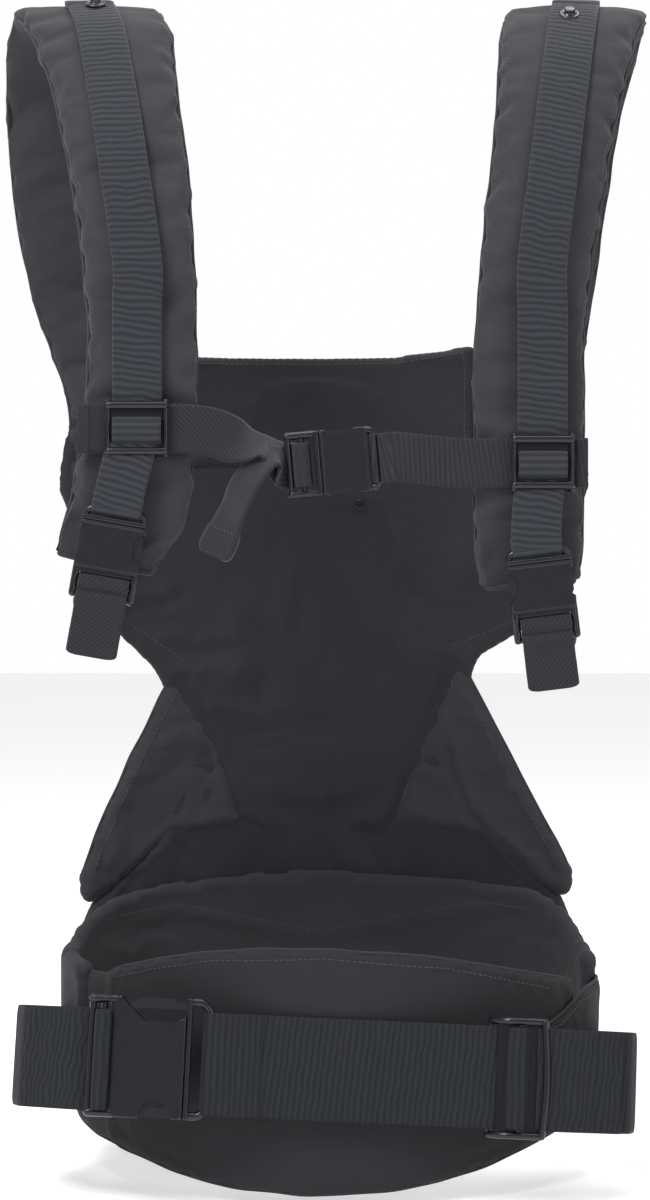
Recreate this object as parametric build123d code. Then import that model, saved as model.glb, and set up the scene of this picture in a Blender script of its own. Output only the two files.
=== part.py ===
"""Soft baby carrier, as worn: a padded front panel with a bucket seat, a wrap-round waist belt, two
padded shoulder straps, a chest strap and two side straps, all closed by side-release buckles.

Millimetres. +X is the wearer's right as seen from behind the wearer, +Y points from the wearer's back
to the baby, and +Z is up. The origin is the middle of the wearer's waist, at the belt webbing's height.
Buckles are built in a frame of their own: X from receptacle to insert, Y across the strap, Z outwards.
"""

from build123d import *
import os
from math import cos, radians, sin

# ------------------------------------------------------------------------------------ driving sizes
SKIN = 1.2  # fabric cover of a padded piece
FIT = 0.3  # gap between layers that only lie on each other
NARROW_WEBBING = 25.0
NARROW_THICK = 1.6
BELT_WEBBING = 50.0
BELT_THICK = 2.0

# Panel: upright tube sectors round one axis, so that every layer bends the same way.
PANEL_AXIS_Y = -100.0
PANEL_INNER_R = 212.0
LINING_THICK = 1.0
PANEL_FOAM_THICK = 5.0
SEAT_PAD_THICK = 11.0
FOLD_Z = 318.0  # crease of the neck support
BUTTON_PLACE = (20.0, 289.0)
BUTTON_R = 3.0
BUTTON_THICK = 1.6
NECK_HINGE_Y = 121.0
NECK_HALF_WIDTH = 86.0
NECK_THICK = 9.0

# Waist belt, as ellipses seen from above.
BELT_HALF_WIDTH = 143.0
FAR_HALF_DEPTH = 113.0
NEAR_HALF_DEPTH = 117.0
BUCKET_THICK = 3.2
PAD_BAND_THICK = 10.0
WRAP_THICK = 4.0
BELT_CUT_X = 160.0  # clears the belt, for cuts that keep one side of it
TAPE_THICK = 1.5  # one half of the hook and loop fastener
SIDE_SEAM_Y = -12.0  # where the wrap flaps are sewn to the padded band

# Belt webbing frame: it runs a little lower at its right end and at its far side.
BELT_Y = -122.0
BELT_Z = 3.0
BELT_TILT = -8.8
BELT_ROLL = 2.6
BELT_LOOP_X = 158.0
BELT_LOOP_Y = 52.0

# Shoulder webbing: straight and upright where the chest strap slides on it.
SHOULDER_WEBBING_Y = -84.9
CHEST_WEBBING_Y = SHOULDER_WEBBING_Y + NARROW_THICK + 0.4
STRAIGHT_TOP_Z = 410.0
WEBBING_END_Y = -6.0  # hem at the shoulder's top
SLIDER_HALF_WIDTH = 16.0
SLIDER_HALF_HEIGHT = 15.2
WING_Y = 68.5  # where the underarm webbing leaves the panel
UNDERARM_MIDDLE = (129.0, 4.0)  # x, y where it has half turned to lie across the ladder
UNDERARM_END_Y = -70.0
UNDERARM_WIDTH = NARROW_WEBBING * 0.96
SEWN_LEG = 9.0  # front leg of a narrow webbing end sewn round a bar
TAIL_HEM = 14.0
TAIL_GAP = 0.4  # from the ladder's middle plane to the tail
CLEAR = 0.4  # webbing to the moulding it passes through

OUT = "parts"
ALONG_Y = (0, 1, 0)
OUTWARDS = (0, -1, 0)  # away from the wearer's back


def save(shape, name):
    shape.label = name
    export_step(shape, f"{OUT}/{name}.step")


# ------------------------------------------------------------------------------------- small shapes
def front_face(points):
    """Flat face seen from the front, from (x, z) corners."""
    return make_face(Plane.XZ * Polyline(*points, close=True))


def block(x0, x1, y0, y1, z0, z1):
    """Box between two corners."""
    centre = ((x0 + x1) / 2, (y0 + y1) / 2, (z0 + z1) / 2)
    return Pos(*centre) * Box(abs(x1 - x0), abs(y1 - y0), abs(z1 - z0))


def wrapped(face, inner, outer):
    """What a front outline covers of an upright tube round the panel's axis."""
    low, tall = -80, 620  # past both ends of the panel
    align = (Align.CENTER, Align.CENTER, Align.MIN)
    tube = Cylinder(outer, tall, align=align) - Cylinder(inner, tall, align=align)
    return extrude(face, amount=200, dir=ALONG_Y) & (Pos(0, PANEL_AXIS_Y, low) * tube)


def padded_panel(outline, inner, thick, round_off):
    """Fabric cover and the foam inside it, for a padded piece that follows the panel's curve."""
    face = front_face(outline)
    face = fillet(face.vertices(), round_off)
    hollow = offset(face, -SKIN * 2)
    cover = wrapped(face, inner, inner + thick) - wrapped(hollow, inner + SKIN, inner + thick - SKIN)
    foam = wrapped(offset(hollow, -FIT), inner + SKIN + FIT, inner + thick - SKIN - FIT)
    return cover, foam


def band(outline, half_width, half_depth, thick, side):
    """What a front outline covers of an elliptical band: side is 1 for the far half and -1 for the near."""
    ring = Ellipse(half_width, half_depth) - Ellipse(half_width - thick, half_depth - thick)
    tube = Pos(0, 0, -90) * extrude(ring, amount=200)
    return extrude(front_face(outline), amount=200, dir=(0, side, 0)) & tube


def station(place, tangent, width_dir):
    """Plane across a strap at one place: X along its width, Z along its length."""
    z = Vector(*tangent).normalized()
    x = Vector(*width_dir)
    x = (x - z * x.dot(z)).normalized()
    return Plane(origin=place, x_dir=x, z_dir=z)


def strip(stops, width, thick, ruled=True):
    """Flat webbing through stops, each (place, tangent, width direction)."""
    return loft([station(*stop) * Rectangle(width, thick) for stop in stops], ruled=ruled)


# ---------------------------------------------------------------------------------- panel and seat
# Seams between the panel, the thigh supports and the bucket, as (x, z) corners from the top down.
LEFT_SEAM = [(-88, 193), (-62, 150), (-46, 104)]
RIGHT_SEAM = [(78, 201), (54, 150), (38, 104)]
LEFT_BASE = [(-86, 100), (-131, 62)]
RIGHT_BASE = [(88, 100), (132, 66)]


def build_panel():
    """Upright panel below the neck support's crease: shoulders, side wings, notches and taper."""
    half, crease, wing_top = NECK_HALF_WIDTH + 5, FOLD_Z - 1, 338
    left = [(-half, crease), (-half, wing_top), (-144, wing_top), (-149, 297), (-133, 258), (-127, 226)]
    right = [(124, 224), (132, 250), (147, 297), (144, wing_top), (half, wing_top), (half, crease)]
    face = front_face([*left, *LEFT_SEAM, *reversed(RIGHT_SEAM), *right])
    foam_r = PANEL_INNER_R + LINING_THICK
    outer_r = foam_r + PANEL_FOAM_THICK
    save(wrapped(face, PANEL_INNER_R, foam_r), "panel_lining")
    save(wrapped(face, foam_r, outer_r), "panel_foam")
    save(wrapped(face, outer_r, outer_r + SKIN), "panel_outer")

    x, z = BUTTON_PLACE
    y = PANEL_AXIS_Y + (PANEL_INNER_R**2 - (x + BUTTON_R) ** 2) ** 0.5 - BUTTON_THICK
    button = Plane(origin=(x, y, z), z_dir=ALONG_Y).location * extrude(Circle(BUTTON_R), amount=BUTTON_THICK)
    save(fillet(button.faces().sort_by(Axis.Y)[0].edges(), 0.6), "panel_button")


def build_neck_support():
    """Padded flap above the crease, which folds outwards and down."""
    half = NECK_HALF_WIDTH
    outline = [(-half, FOLD_Z), (-half, 374), (half / 2, 375), (half, 380), (half, FOLD_Z)]
    cover, foam = padded_panel(outline, PANEL_INNER_R - 1.5, NECK_THICK, 4)
    save(cover, "neck_support_cover")
    save(foam, "neck_support_foam")


def build_seat():
    """Two padded thigh supports, and the bucket that hangs between them and the belt."""
    left_edge = [(-116, 134), (-138, 80), (-137, 66)]
    right_edge = [(89, 181), (113, 134), (139, 82), (138, 70)]
    left = [LEFT_SEAM[0], *left_edge, *reversed(LEFT_BASE), *reversed(LEFT_SEAM[1:])]
    right = [RIGHT_SEAM[0], *right_edge, *reversed(RIGHT_BASE), *reversed(RIGHT_SEAM[1:])]
    for side, outline in (("left", left), ("right", right)):
        cover, foam = padded_panel(outline, PANEL_INNER_R - 2, SEAT_PAD_THICK, 1.0)
        save(cover, f"seat_{side}_thigh_cover")
        save(foam, f"seat_{side}_thigh_foam")
    top = [*reversed(LEFT_BASE), LEFT_SEAM[-1], RIGHT_SEAM[-1], *RIGHT_BASE]
    bucket = [(-139, 48), *top, (141, 50), (104, 30), (-104, 30)]
    grow = BUCKET_THICK + FIT
    save(band(bucket, BELT_HALF_WIDTH + grow, FAR_HALF_DEPTH + grow, BUCKET_THICK, 1), "seat_bucket")


# --------------------------------------------------------------------------------------- waist belt
def build_waist_band():
    """Padded band at the wearer's front, and two wrap flaps that meet at the back on hook and loop."""
    top = [(-150, 51), (-139, 54), (-130, 64), (-118, 71), (-60, 77), (0, 80)]
    top += [(60, 77), (118, 73), (130, 68), (141, 52), (150, 47)]
    far = [(-150, -34), *top, (150, -34), (60, -52), (0, -56), (-60, -52)]
    reach = block(-BELT_CUT_X, BELT_CUT_X, SIDE_SEAM_Y, 200, -90, 110)
    outer = band(far, BELT_HALF_WIDTH, FAR_HALF_DEPTH, PAD_BAND_THICK, 1)
    outer += band(far, BELT_HALF_WIDTH, FAR_HALF_DEPTH, PAD_BAND_THICK, -1)
    inset = [(x * 0.985, z - 2.4 if z > 0 else z + 2.4) for x, z in far]
    hollow = band(inset, BELT_HALF_WIDTH - SKIN, FAR_HALF_DEPTH - SKIN, PAD_BAND_THICK - 2 * SKIN, 1)
    gap = SKIN + FIT
    filling = band(inset, BELT_HALF_WIDTH - gap, FAR_HALF_DEPTH - gap, PAD_BAND_THICK - 2 * gap, 1)
    tall = block(-BELT_CUT_X, BELT_CUT_X, 6, 200, -90, 110)
    short = block(-BELT_CUT_X, BELT_CUT_X, 6 + FIT, 200, -90, 110)
    save((outer & reach) - (hollow & tall), "waist_band_cover")
    save(filling & short, "waist_band_foam")

    near = block(-BELT_CUT_X, BELT_CUT_X, SIDE_SEAM_Y - FIT, -200, -90, 110)
    over = [(-106, -46), (-108, 48), (-55, 60), (0, 62), (60, 56), (128, 40), (134, 33), (150, 33)]
    over += [(150, -24), (120, -40), (55, -57), (0, -62), (-55, -58)]
    under = [(-150, -12), (-150, 40), (-110, 48), (-30, 50), (20, 50), (20, -40), (-30, -52), (-116, -44)]
    inner_w = BELT_HALF_WIDTH - WRAP_THICK - 2 * TAPE_THICK
    inner_d = NEAR_HALF_DEPTH - WRAP_THICK - 2 * TAPE_THICK
    save(band(over, BELT_HALF_WIDTH, NEAR_HALF_DEPTH, WRAP_THICK, -1) & near, "wrap_flap_over")
    save(band(under, inner_w, inner_d, WRAP_THICK, -1) & near, "wrap_flap_under")
    hook = [(-95, -36), (-95, 36), (-20, 42), (-20, -42)]
    loop = [(-98, -38), (-98, 38), (10, 44), (10, -44)]
    depth = WRAP_THICK + TAPE_THICK
    save(band(hook, BELT_HALF_WIDTH - WRAP_THICK, NEAR_HALF_DEPTH - WRAP_THICK, TAPE_THICK, -1), "hook_tape")
    save(band(loop, BELT_HALF_WIDTH - depth, NEAR_HALF_DEPTH - depth, TAPE_THICK, -1), "loop_tape")


# ----------------------------------------------------------------------------------- shoulder straps
# Each stop: x, y, z of the pad's middle, its width, its thickness, and its turn about Z in degrees.
LEFT_PAD = [
    (-111, -69, 251, 60, 12, 0),
    (-103, -71, 282, 59, 15, 0),
    (-95, -71, 320, 58, 15, 0),
    (-93, -71, 365, 57, 15, 0),
    (-95, -71, 408, 58, 15, 0),
    (-100, -65, 450, 61, 15, 0),
    (-108, -49, 494, 65, 15, 0),
    (-117, -23, 530, 72, 15, 0),
    (-128, 8, 545, 76, 15, 2),
    (-138, 38, 535, 72, 15, 5),
    (-144, 62, 503, 66, 15, 10),
    (-145, 77, 458, 62, 14, 18),
    (-137, 86, 406, 60, 13, 26),
    (-126, 84, 368, 59, 12, 31),
    (-119, 78, 342, 58, 10, 33),
]
RIGHT_PAD = [
    (105, -69, 244, 58, 12, 0),
    (105, -71, 272, 59, 15, 0),
    (104, -71, 315, 58, 15, 0),
    (104, -71, 362, 57, 15, 0),
    (108, -71, 404, 58, 15, 0),
    (114, -65, 448, 60, 15, 0),
    (121, -49, 494, 65, 15, 0),
    (128, -23, 530, 72, 15, 0),
    (134, 8, 545, 76, 15, -2),
    (135, 38, 535, 71, 15, -5),
    (132, 62, 503, 65, 15, -10),
    (129, 77, 458, 61, 14, -18),
    (124, 86, 406, 59, 13, -26),
    (120, 84, 368, 58, 12, -31),
    (118, 78, 342, 57, 10, -33),
]
WEBBING_LIFTS = (6.2, 4.0, 3.2, 3.0)  # of the shoulder webbing above the pad, up to the shoulder's top
LEFT_SLOPE = 10.0  # lean of each side buckle from the vertical
RIGHT_SLOPE = -7.0
LEFT_BUCKLE = (-110.5, -88.0, 248.5)  # where the receptacle's ladder meets its body
RIGHT_BUCKLE = (110.6, -88.0, 228.5)


def pad_planes(stops):
    """A plane across the pad at each stop, its tangent taken from the stops on both sides."""
    planes = []
    for i, (x, y, z, _, _, turn) in enumerate(stops):
        before = Vector(*stops[max(i - 1, 0)][:3])
        after = Vector(*stops[min(i + 1, len(stops) - 1)][:3])
        across = (cos(radians(turn)), sin(radians(turn)), 0)
        planes.append(station((x, y, z), tuple(after - before), across))
    return planes


def pad_body(stops, less):
    """Pad lofted through its stops, less millimetres thinner all round and shorter at both ends."""
    sections = []
    for plane, (_, _, _, width, thick, _) in zip(pad_planes(stops), stops):
        wide, deep = width - 2 * less, thick - 2 * less
        sections.append(plane * RectangleRounded(wide, deep, deep * 0.42))
    if less:
        sections[0] = sections[0].moved(Location(pad_planes(stops)[0].z_dir * (less * 2)))
        sections[-1] = sections[-1].moved(Location(pad_planes(stops)[-1].z_dir * (-less * 2)))
    return loft(sections)


def shoulder_webbing(stops, x, low_z, buckle_top, slope, side_shift):
    """Webbing from the shoulder's top down the pad, through the slider, to the insert's bar."""
    planes = pad_planes(stops)
    straight = block(
        x - NARROW_WEBBING / 2,
        x + NARROW_WEBBING / 2,
        SHOULDER_WEBBING_Y - NARROW_THICK / 2,
        SHOULDER_WEBBING_Y + NARROW_THICK / 2,
        low_z,
        STRAIGHT_TOP_Z,
    )
    upper = [((x, SHOULDER_WEBBING_Y, STRAIGHT_TOP_Z), (0, 0, 1), (1, 0, 0))]
    for i, lift in zip(range(5, 9), WEBBING_LIFTS):
        plane = planes[i]
        place = plane.origin - plane.y_dir * (stops[i][4] / 2 + lift) + plane.x_dir * side_shift
        upper.append((place, plane.z_dir, plane.x_dir))
    lean = (sin(radians(slope)), 0, cos(radians(slope)))
    lower = [
        (buckle_top, lean, (cos(radians(slope)), 0, -sin(radians(slope)))),
        ((x, SHOULDER_WEBBING_Y, low_z), (0, 0, 1), (1, 0, 0)),
    ]
    cut = block(-400, 400, -200, WEBBING_END_Y, 0, 700)
    piece = straight + (strip(upper, NARROW_WEBBING, NARROW_THICK, ruled=False) & cut)
    return piece + strip(lower, NARROW_WEBBING, NARROW_THICK)


def build_shoulder(side, stops):
    cover = pad_body(stops, 0) - pad_body(stops, SKIN)
    save(cover, f"shoulder_{side}_cover")
    save(pad_body(stops, SKIN + FIT), f"shoulder_{side}_foam")


# -------------------------------------------------------------------------------------------- buckles
class Buckle:
    """Side-release buckle for one webbing width. One half has a ladder, and the other a sewn-in bar."""

    flange = 2.6
    bar_r = 1.5
    mouth_gap = 0.3

    def __init__(self, strap, width, length, thick, ladder, base, wall):
        self.strap, self.width, self.length, self.thick = strap, width, length, thick
        self.ladder, self.base, self.wall = ladder, base, wall
        self.inner_thick = thick - 2 * wall - 0.8  # what fits inside the receptacle
        self.window_x = (0.28 * length, 0.86 * length)
        self.arm_out = width / 2 - wall - 0.5
        self.arm_in = self.arm_out - 2.4 - width * 0.012
        self.rail = width / 2 - (strap / 2 + 0.7)  # width of the side rails beside the webbing
        self.insert_x = length + self.mouth_gap
        self.pivot_x = self.insert_x

    def end_frame(self, edge_x, way, with_ladder):
        """Side rails and bars outside one half's body: way is 1 along +X and -1 along -X."""
        reach = self.ladder if with_ladder else self.base
        depth = self.thick * (0.34 if with_ladder else 0.3)
        parts = Part()
        for s in (-1, 1):
            outer = s * self.width / 2
            parts += block(edge_x - way * 0.5, edge_x + way * reach, outer, outer - s * self.rail, -depth, depth)
        r = 1.6 if with_ladder else self.bar_r
        bars = (reach - r, reach * 0.5 - 0.8) if with_ladder else (reach - r,)
        for place in bars:
            bar = Rot(90, 0, 0) * Cylinder(r, self.width - self.rail)
            parts += Pos(edge_x + way * place, 0, 0) * bar
        return parts

    def receptacle(self, with_ladder=True):
        """Hollow body with a window in each side for the prongs."""
        w, t, long, wall = self.width, self.thick, self.length, self.wall
        body = block(0, long, -w / 2, w / 2, -t / 2, t / 2)
        body = fillet(body.edges().filter_by(Axis.X), 2.0)
        body -= block(wall * 1.6, long + 1, wall - w / 2, w / 2 - wall, wall - t / 2, t / 2 - wall)
        x0, x1 = self.window_x
        depth = w * 0.12
        arc_r = ((x1 - x0) ** 2 / 4 + depth**2) / (2 * depth) * 0.82
        for s in (-1, 1):
            body -= block(x0, x1, s * (w / 2 - wall - 1), s * (w / 2 + 1), wall - t / 2, t / 2 - wall)
            middle = ((x0 + x1) / 2, s * (w / 2 - depth + arc_r), 0)
            body -= Pos(*middle) * Cylinder(arc_r, t + 2)
        return body + self.end_frame(0, -1, with_ladder)

    def insert(self, with_ladder=False):
        """Flange and centre tongue of the half that plugs in."""
        w, t, x = self.width, self.thick, self.insert_x
        body = block(x, x + self.flange, -w / 2, w / 2, -t / 2, t / 2)
        body = fillet(body.edges().filter_by(Axis.X), 2.0)
        inside = self.inner_thick / 2
        body += block(self.length * 0.3, x + 1, -w * 0.13, w * 0.13, -inside, inside)
        return body + self.end_frame(x + self.flange, 1, with_ladder)

    def prong(self, s):
        """One springy side arm: its barb sits in the window and catches the window's end."""
        x0, x1 = self.window_x
        out, inn, flush = self.arm_out, self.arm_in, self.width / 2 - 0.5
        root, catch = self.pivot_x, x1 - 0.5
        points = [
            (root, inn),
            (root, out),
            (catch, out),
            (catch, flush - 0.3),
            (catch - 1.5, flush),
            (x0 + 2.5, flush),
            (x0 - 1.6, out - 0.6),
            (x0 - 2.8, inn + 0.5),
            (x0 - 1.6, inn - 0.8),
            (x0 + 5, inn),
        ]
        face = make_face(Polyline(*[(x, s * y) for x, y in points], close=True))
        return Pos(0, 0, -self.inner_thick / 2) * extrude(face, amount=self.inner_thick, dir=(0, 0, 1))

    def bar_place(self, on_insert=True):
        """X of the sewn-in bar."""
        reach = self.base - self.bar_r
        return self.insert_x + self.flange + reach if on_insert else -reach

    def loop(self, thick, front_leg, back_leg, on_insert=True):
        """Webbing end sewn round the bar: the turn, and a leg in front and behind."""
        r0 = self.bar_r + 0.25
        r1 = r0 + thick
        turn = Cylinder(r1, self.strap) - Cylinder(r0, self.strap + 1)
        turn = Rot(90, 0, 0) * turn & block(-r1 - 1, 0, -99, 99, -r1 - 1, r1 + 1)
        half = self.strap / 2
        legs = block(0, front_leg, -half, half, r0, r1) + block(0, back_leg, -half, half, -r1, -r0)
        piece = turn + legs
        if not on_insert:
            piece = mirror(piece, Plane.YZ)
        return Pos(self.bar_place(on_insert), 0, 0) * piece

    def leg_height(self, thick):
        """Distance of a loop leg's middle from the bar's middle."""
        return self.bar_r + 0.25 + thick / 2


SMALL = Buckle(NARROW_WEBBING, 33.0, 24.0, 8.6, 15.0, 5.4, 1.5)
LARGE = Buckle(BELT_WEBBING, 59.0, 35.0, 11.0, 13.0, 10.4, 2.0)


def side_plane(place, slope):
    """Buckle frame for a side strap: its insert points up, and its front faces away from the wearer."""
    return Plane(origin=place, x_dir=(sin(radians(slope)), 0, cos(radians(slope))), z_dir=OUTWARDS)


def chest_plane():
    """Chest buckle's frame: its insert points left."""
    lean = radians(CHEST_SLOPE)
    return Plane(origin=CHEST_BUCKLE, x_dir=(-cos(lean), 0, -sin(lean)), z_dir=OUTWARDS)


def belt_frame():
    """Frame of the belt webbing: origin at the middle of its near run, X along it, Y away from its face."""
    return Location((0, BELT_Y, BELT_Z), (BELT_TILT, BELT_ROLL, 0))


def waist_plane():
    """Waist buckle's frame inside the belt webbing's frame."""
    return Plane(origin=(WAIST_BUCKLE_X, -3.0, WAIST_BUCKLE_Z), x_dir=(1, 0, 0), z_dir=OUTWARDS)


def build_buckle(kind, place, name, prong_names, ladder_on_insert=False):
    """Receptacle, insert and two prongs; the first prong named is on the frame's +Y side."""
    save(place * kind.receptacle(not ladder_on_insert), f"{name}_receptacle")
    save(place * kind.insert(ladder_on_insert), f"{name}_insert")
    for s, word in zip((1, -1), prong_names):
        save(place * kind.prong(s), f"{name}_prong_{word}")


# ---------------------------------------------------------------------------------------- side straps
def build_side(side, stops, buckle, slope, webbing_x, low_z, side_shift, tail_long):
    """One shoulder strap with its webbing and side buckle, and the strap from the panel's side to the buckle."""
    frame = side_plane(buckle, slope)
    place = frame.location
    build_shoulder(side, stops)
    words = ("outer", "inner") if side == "left" else ("inner", "outer")
    build_buckle(SMALL, place, f"{side}_side", words)

    loop = place * SMALL.loop(NARROW_THICK, SEWN_LEG, SEWN_LEG * 0.8)
    top = frame.from_local_coords((SMALL.bar_place() + SEWN_LEG, 0, SMALL.leg_height(NARROW_THICK)))
    run = shoulder_webbing(stops, webbing_x, low_z, tuple(top), slope, side_shift)
    save(run + loop, f"shoulder_{side}_webbing")

    # Adjustable webbing: from the panel's wing, under the arm, with a quarter turn to the ladder's back.
    sign = -1 if side == "left" else 1
    end = frame.from_local_coords((-SMALL.ladder - 5, 0, 0))
    wing_z = end.Z + 3
    wing = ((sign * 127, WING_Y, wing_z), (sign * 0.1, -1, -0.05), (0, 0, 1))
    middle_x, middle_y = UNDERARM_MIDDLE
    middle = ((sign * middle_x, middle_y, wing_z - 4), (sign * -0.05, -1, -0.05), (sign * 0.7, 0, 0.7))
    near = ((end.X + sign * 2, UNDERARM_END_Y, end.Z - 2), (sign * -0.1, -1, 0.3), (sign, 0, 0))
    save(strip([wing, middle, near], UNDERARM_WIDTH, NARROW_THICK), f"{side}_underarm_webbing")

    # Its loose tail comes over the ladder's end bar and ends in a folded hem.
    end = -SMALL.ladder - tail_long
    half, thick = NARROW_WEBBING / 2, NARROW_THICK
    tail = block(end, -SMALL.ladder - CLEAR, -half, half, TAIL_GAP, TAIL_GAP + thick)
    tail += block(end, end + TAIL_HEM, -half, half, TAIL_GAP - thick, TAIL_GAP + 0.1)
    save(place * tail, f"{side}_side_tail")


# --------------------------------------------------------------------------------------- chest strap
LEFT_SLIDER = (-95.0, 320.6)  # x, z of each slider's middle
RIGHT_SLIDER = (110.0, 303.4)
CHEST_BUCKLE = (22.0, -84.0, 305.2)  # where the receptacle's body ends
CHEST_SLOPE = 5.0


def slider(x, z):
    """Two bars cross in front of the shoulder webbing, and a plate holds the chest webbing behind it."""
    w, h = SLIDER_HALF_WIDTH, SLIDER_HALF_HEIGHT
    slot = NARROW_WEBBING / 2 + 0.7
    front = SHOULDER_WEBBING_Y - NARROW_THICK / 2 - CLEAR
    back = CHEST_WEBBING_Y + NARROW_THICK / 2 + CLEAR
    frame = block(-w, w, front - 2.6, front, -h, h)
    frame = fillet(frame.edges().filter_by(Axis.Y), 2.5)
    frame -= block(-slot, slot, front - 9, front + 1, -h + 3.4, h - 3.4)
    for bar in (-1, 1):
        frame += Pos(0, front - 1.6, bar * (h - 3.4)) * Rot(0, 90, 0) * Cylinder(1.6, 2 * slot + 2)
    for sx in (-1, 1):
        for sz in (-1, 1):
            frame += block(sx * slot, sx * w, front - 0.5, back + 1.1, sz * (h - 1.9), sz * h)
    plate = block(-w, w, back, back + 1.1, -h, h)
    return Pos(x, 0, z) * (frame + plate)


def build_chest_strap():
    save(slider(*LEFT_SLIDER), "chest_slider_left")
    save(slider(*RIGHT_SLIDER), "chest_slider_right")
    frame = chest_plane()
    build_buckle(SMALL, frame.location, "chest", ("lower", "upper"), ladder_on_insert=True)

    y, half, up = CHEST_WEBBING_Y, NARROW_WEBBING / 2, (0, 0, 1)
    near, far = y - NARROW_THICK / 2, y + NARROW_THICK / 2
    # Right run: sewn round the receptacle's bar, then straight through the right slider.
    start = (SMALL.bar_place(False) - SEWN_LEG, 0, SMALL.leg_height(NARROW_THICK))
    right_x, right_z = RIGHT_SLIDER
    stops = [(frame.from_local_coords(start), frame.x_dir * -1, frame.y_dir * -1)]
    stops += [((68, y, right_z), (1, 0, 0), up)]
    run = strip(stops, NARROW_WEBBING, NARROW_THICK)
    run += block(68, right_x + 23, near, far, right_z - half, right_z + half)
    run += frame.location * SMALL.loop(NARROW_THICK, SEWN_LEG, SEWN_LEG * 0.8, on_insert=False)
    save(run, "chest_webbing_right")

    # Left run: through the left slider, then slack and half twisted to the back of the ladder.
    left_x, left_z = LEFT_SLIDER
    run = block(left_x - 30, -68, near, far, left_z - half, left_z + half)
    ladder_x = SMALL.insert_x + SMALL.flange + SMALL.ladder
    stops = [
        ((-68, y, left_z), (1, 0, 0), up),
        ((-50, -79, 317), (1, 0, -0.3), (0, 0.35, 1)),
        ((-35, -76, 310), (1, 0, -0.4), (0, 0.5, 1)),
        (frame.from_local_coords((ladder_x - 6, 0, -5.2)), frame.x_dir * -1, frame.y_dir * -1),
    ]
    save(run + strip(stops, NARROW_WEBBING, NARROW_THICK), "chest_webbing_left")

    # Tail: leaves the ladder's end bar, turns down, and ends in a folded tab.
    edge = frame.from_local_coords((ladder_x + 0.7, 0, 2.0))
    stops = [
        (edge, (-1, 0, -0.3), (0, 0.3, 1)),
        ((-33, -87, 300), (-0.9, 0, -0.7), (0.4, 0.4, -0.7)),
        ((-43, -88, 288), (-0.25, 0, -1), (0.7, 0.7, 0)),
        ((-47, -88, 272), (-0.3, 0, -1), (0.9, 0.5, -0.2)),
        ((-54, -88, 257), (-0.6, 0, -1), (0.9, 0.3, -0.4)),
    ]
    save(strip(stops, NARROW_WEBBING * 0.85, NARROW_THICK * 1.6), "chest_tail")


# ---------------------------------------------------------------------------------------- belt webbing
TURN_R = 5.0
TRI_GLIDE_X = 93.0
WAIST_BUCKLE_X = -104.0
WAIST_BUCKLE_Z = 2.0
WAIST_TAIL_X = 146.0
WAIST_LEG = 12.0


def belt_strip(points):
    """Upright belt webbing along a line seen from above, with rounded turns."""
    line = FilletPolyline(*points, radius=TURN_R) if len(points) > 2 else Polyline(*points)
    ribbon = offset(line, BELT_THICK / 2, kind=Kind.ARC, side=Side.BOTH)
    return Pos(0, 0, -BELT_WEBBING / 2) * extrude(make_face(ribbon), amount=BELT_WEBBING)


def build_tri_glide(run_y):
    """End bars in front of the webbing, centre bar behind it."""
    over, under = run_y - BELT_THICK / 2 - CLEAR, run_y + BELT_THICK / 2 + CLEAR
    half = BELT_WEBBING / 2
    wide, tall, slot = 13.5, half + 4.4, half + 0.8
    glide = block(-wide, wide, over - 3, over, -tall, tall)
    glide = fillet(glide.edges().filter_by(Axis.Y), 4)
    glide -= block(-wide + 3.6, wide - 3.6, over - 9, over + 1, -slot, slot)
    for s in (-1, 1):
        glide += block(-3, 3, over - 0.5, under + 2.4, s * slot, s * tall)
    glide += block(-3, 3, under, under + 2.4, -tall, tall)
    return Pos(TRI_GLIDE_X, 0, 0) * glide


def build_belt():
    frame = belt_frame()
    local = waist_plane().location
    build_buckle(LARGE, frame * local, "waist", ("upper", "lower"))

    # Left run: from the under flap's side out to its loop, then to the ladder's end bar.
    end_x = WAIST_BUCKLE_X - LARGE.ladder - 1.4
    left = [(-138.4, 104), (-BELT_LOOP_X, BELT_LOOP_Y), (-BELT_LOOP_X + 14, 8), (end_x, 0)]
    save(frame * belt_strip(left), "waist_webbing_left")

    # Right run: sewn round the insert's bar, flat behind the tri-glide, out to its loop and to the over flap.
    run_y = -3.0 + LARGE.leg_height(BELT_THICK)
    start = WAIST_BUCKLE_X + LARGE.bar_place() + WAIST_LEG
    right = [(start, run_y), (116, run_y), (BELT_LOOP_X - 6, 19), (BELT_LOOP_X, BELT_LOOP_Y), (142.4, 104)]
    run = belt_strip(right) + local * LARGE.loop(BELT_THICK, WAIST_LEG * 0.8, WAIST_LEG)
    save(frame * run, "waist_webbing_right")
    tail = [(110, run_y - 2.4), (117, run_y - 2.4), (WAIST_TAIL_X, 10.4)]
    save(frame * belt_strip(tail), "waist_webbing_tail")
    save(frame * build_tri_glide(run_y), "tri_glide")


# ---------------------------------------------------------------------------------------- small trim
STUD_R = 2.9
STUD_TALL = 2.6
STUD_FLANGE_R = 5.4


def stud_plane(side):
    """Where each press stud for the hood's straps stands on the shoulder webbing."""
    stops, t = (LEFT_PAD, 0.4) if side == "left" else (RIGHT_PAD, 0.1)
    low, high = pad_planes(stops)[7:9]
    chord = high.origin - low.origin
    bulge = chord.length * radians(low.y_dir.get_angle(high.y_dir)) / 2 * t * (1 - t)
    outwards = (low.y_dir * (t - 1) - high.y_dir * t).normalized()
    lift = stops[7][4] / 2 + WEBBING_LIFTS[2] + NARROW_THICK / 2 + bulge + 0.5
    return Plane(origin=low.origin + chord * t + outwards * lift, z_dir=outwards)


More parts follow.
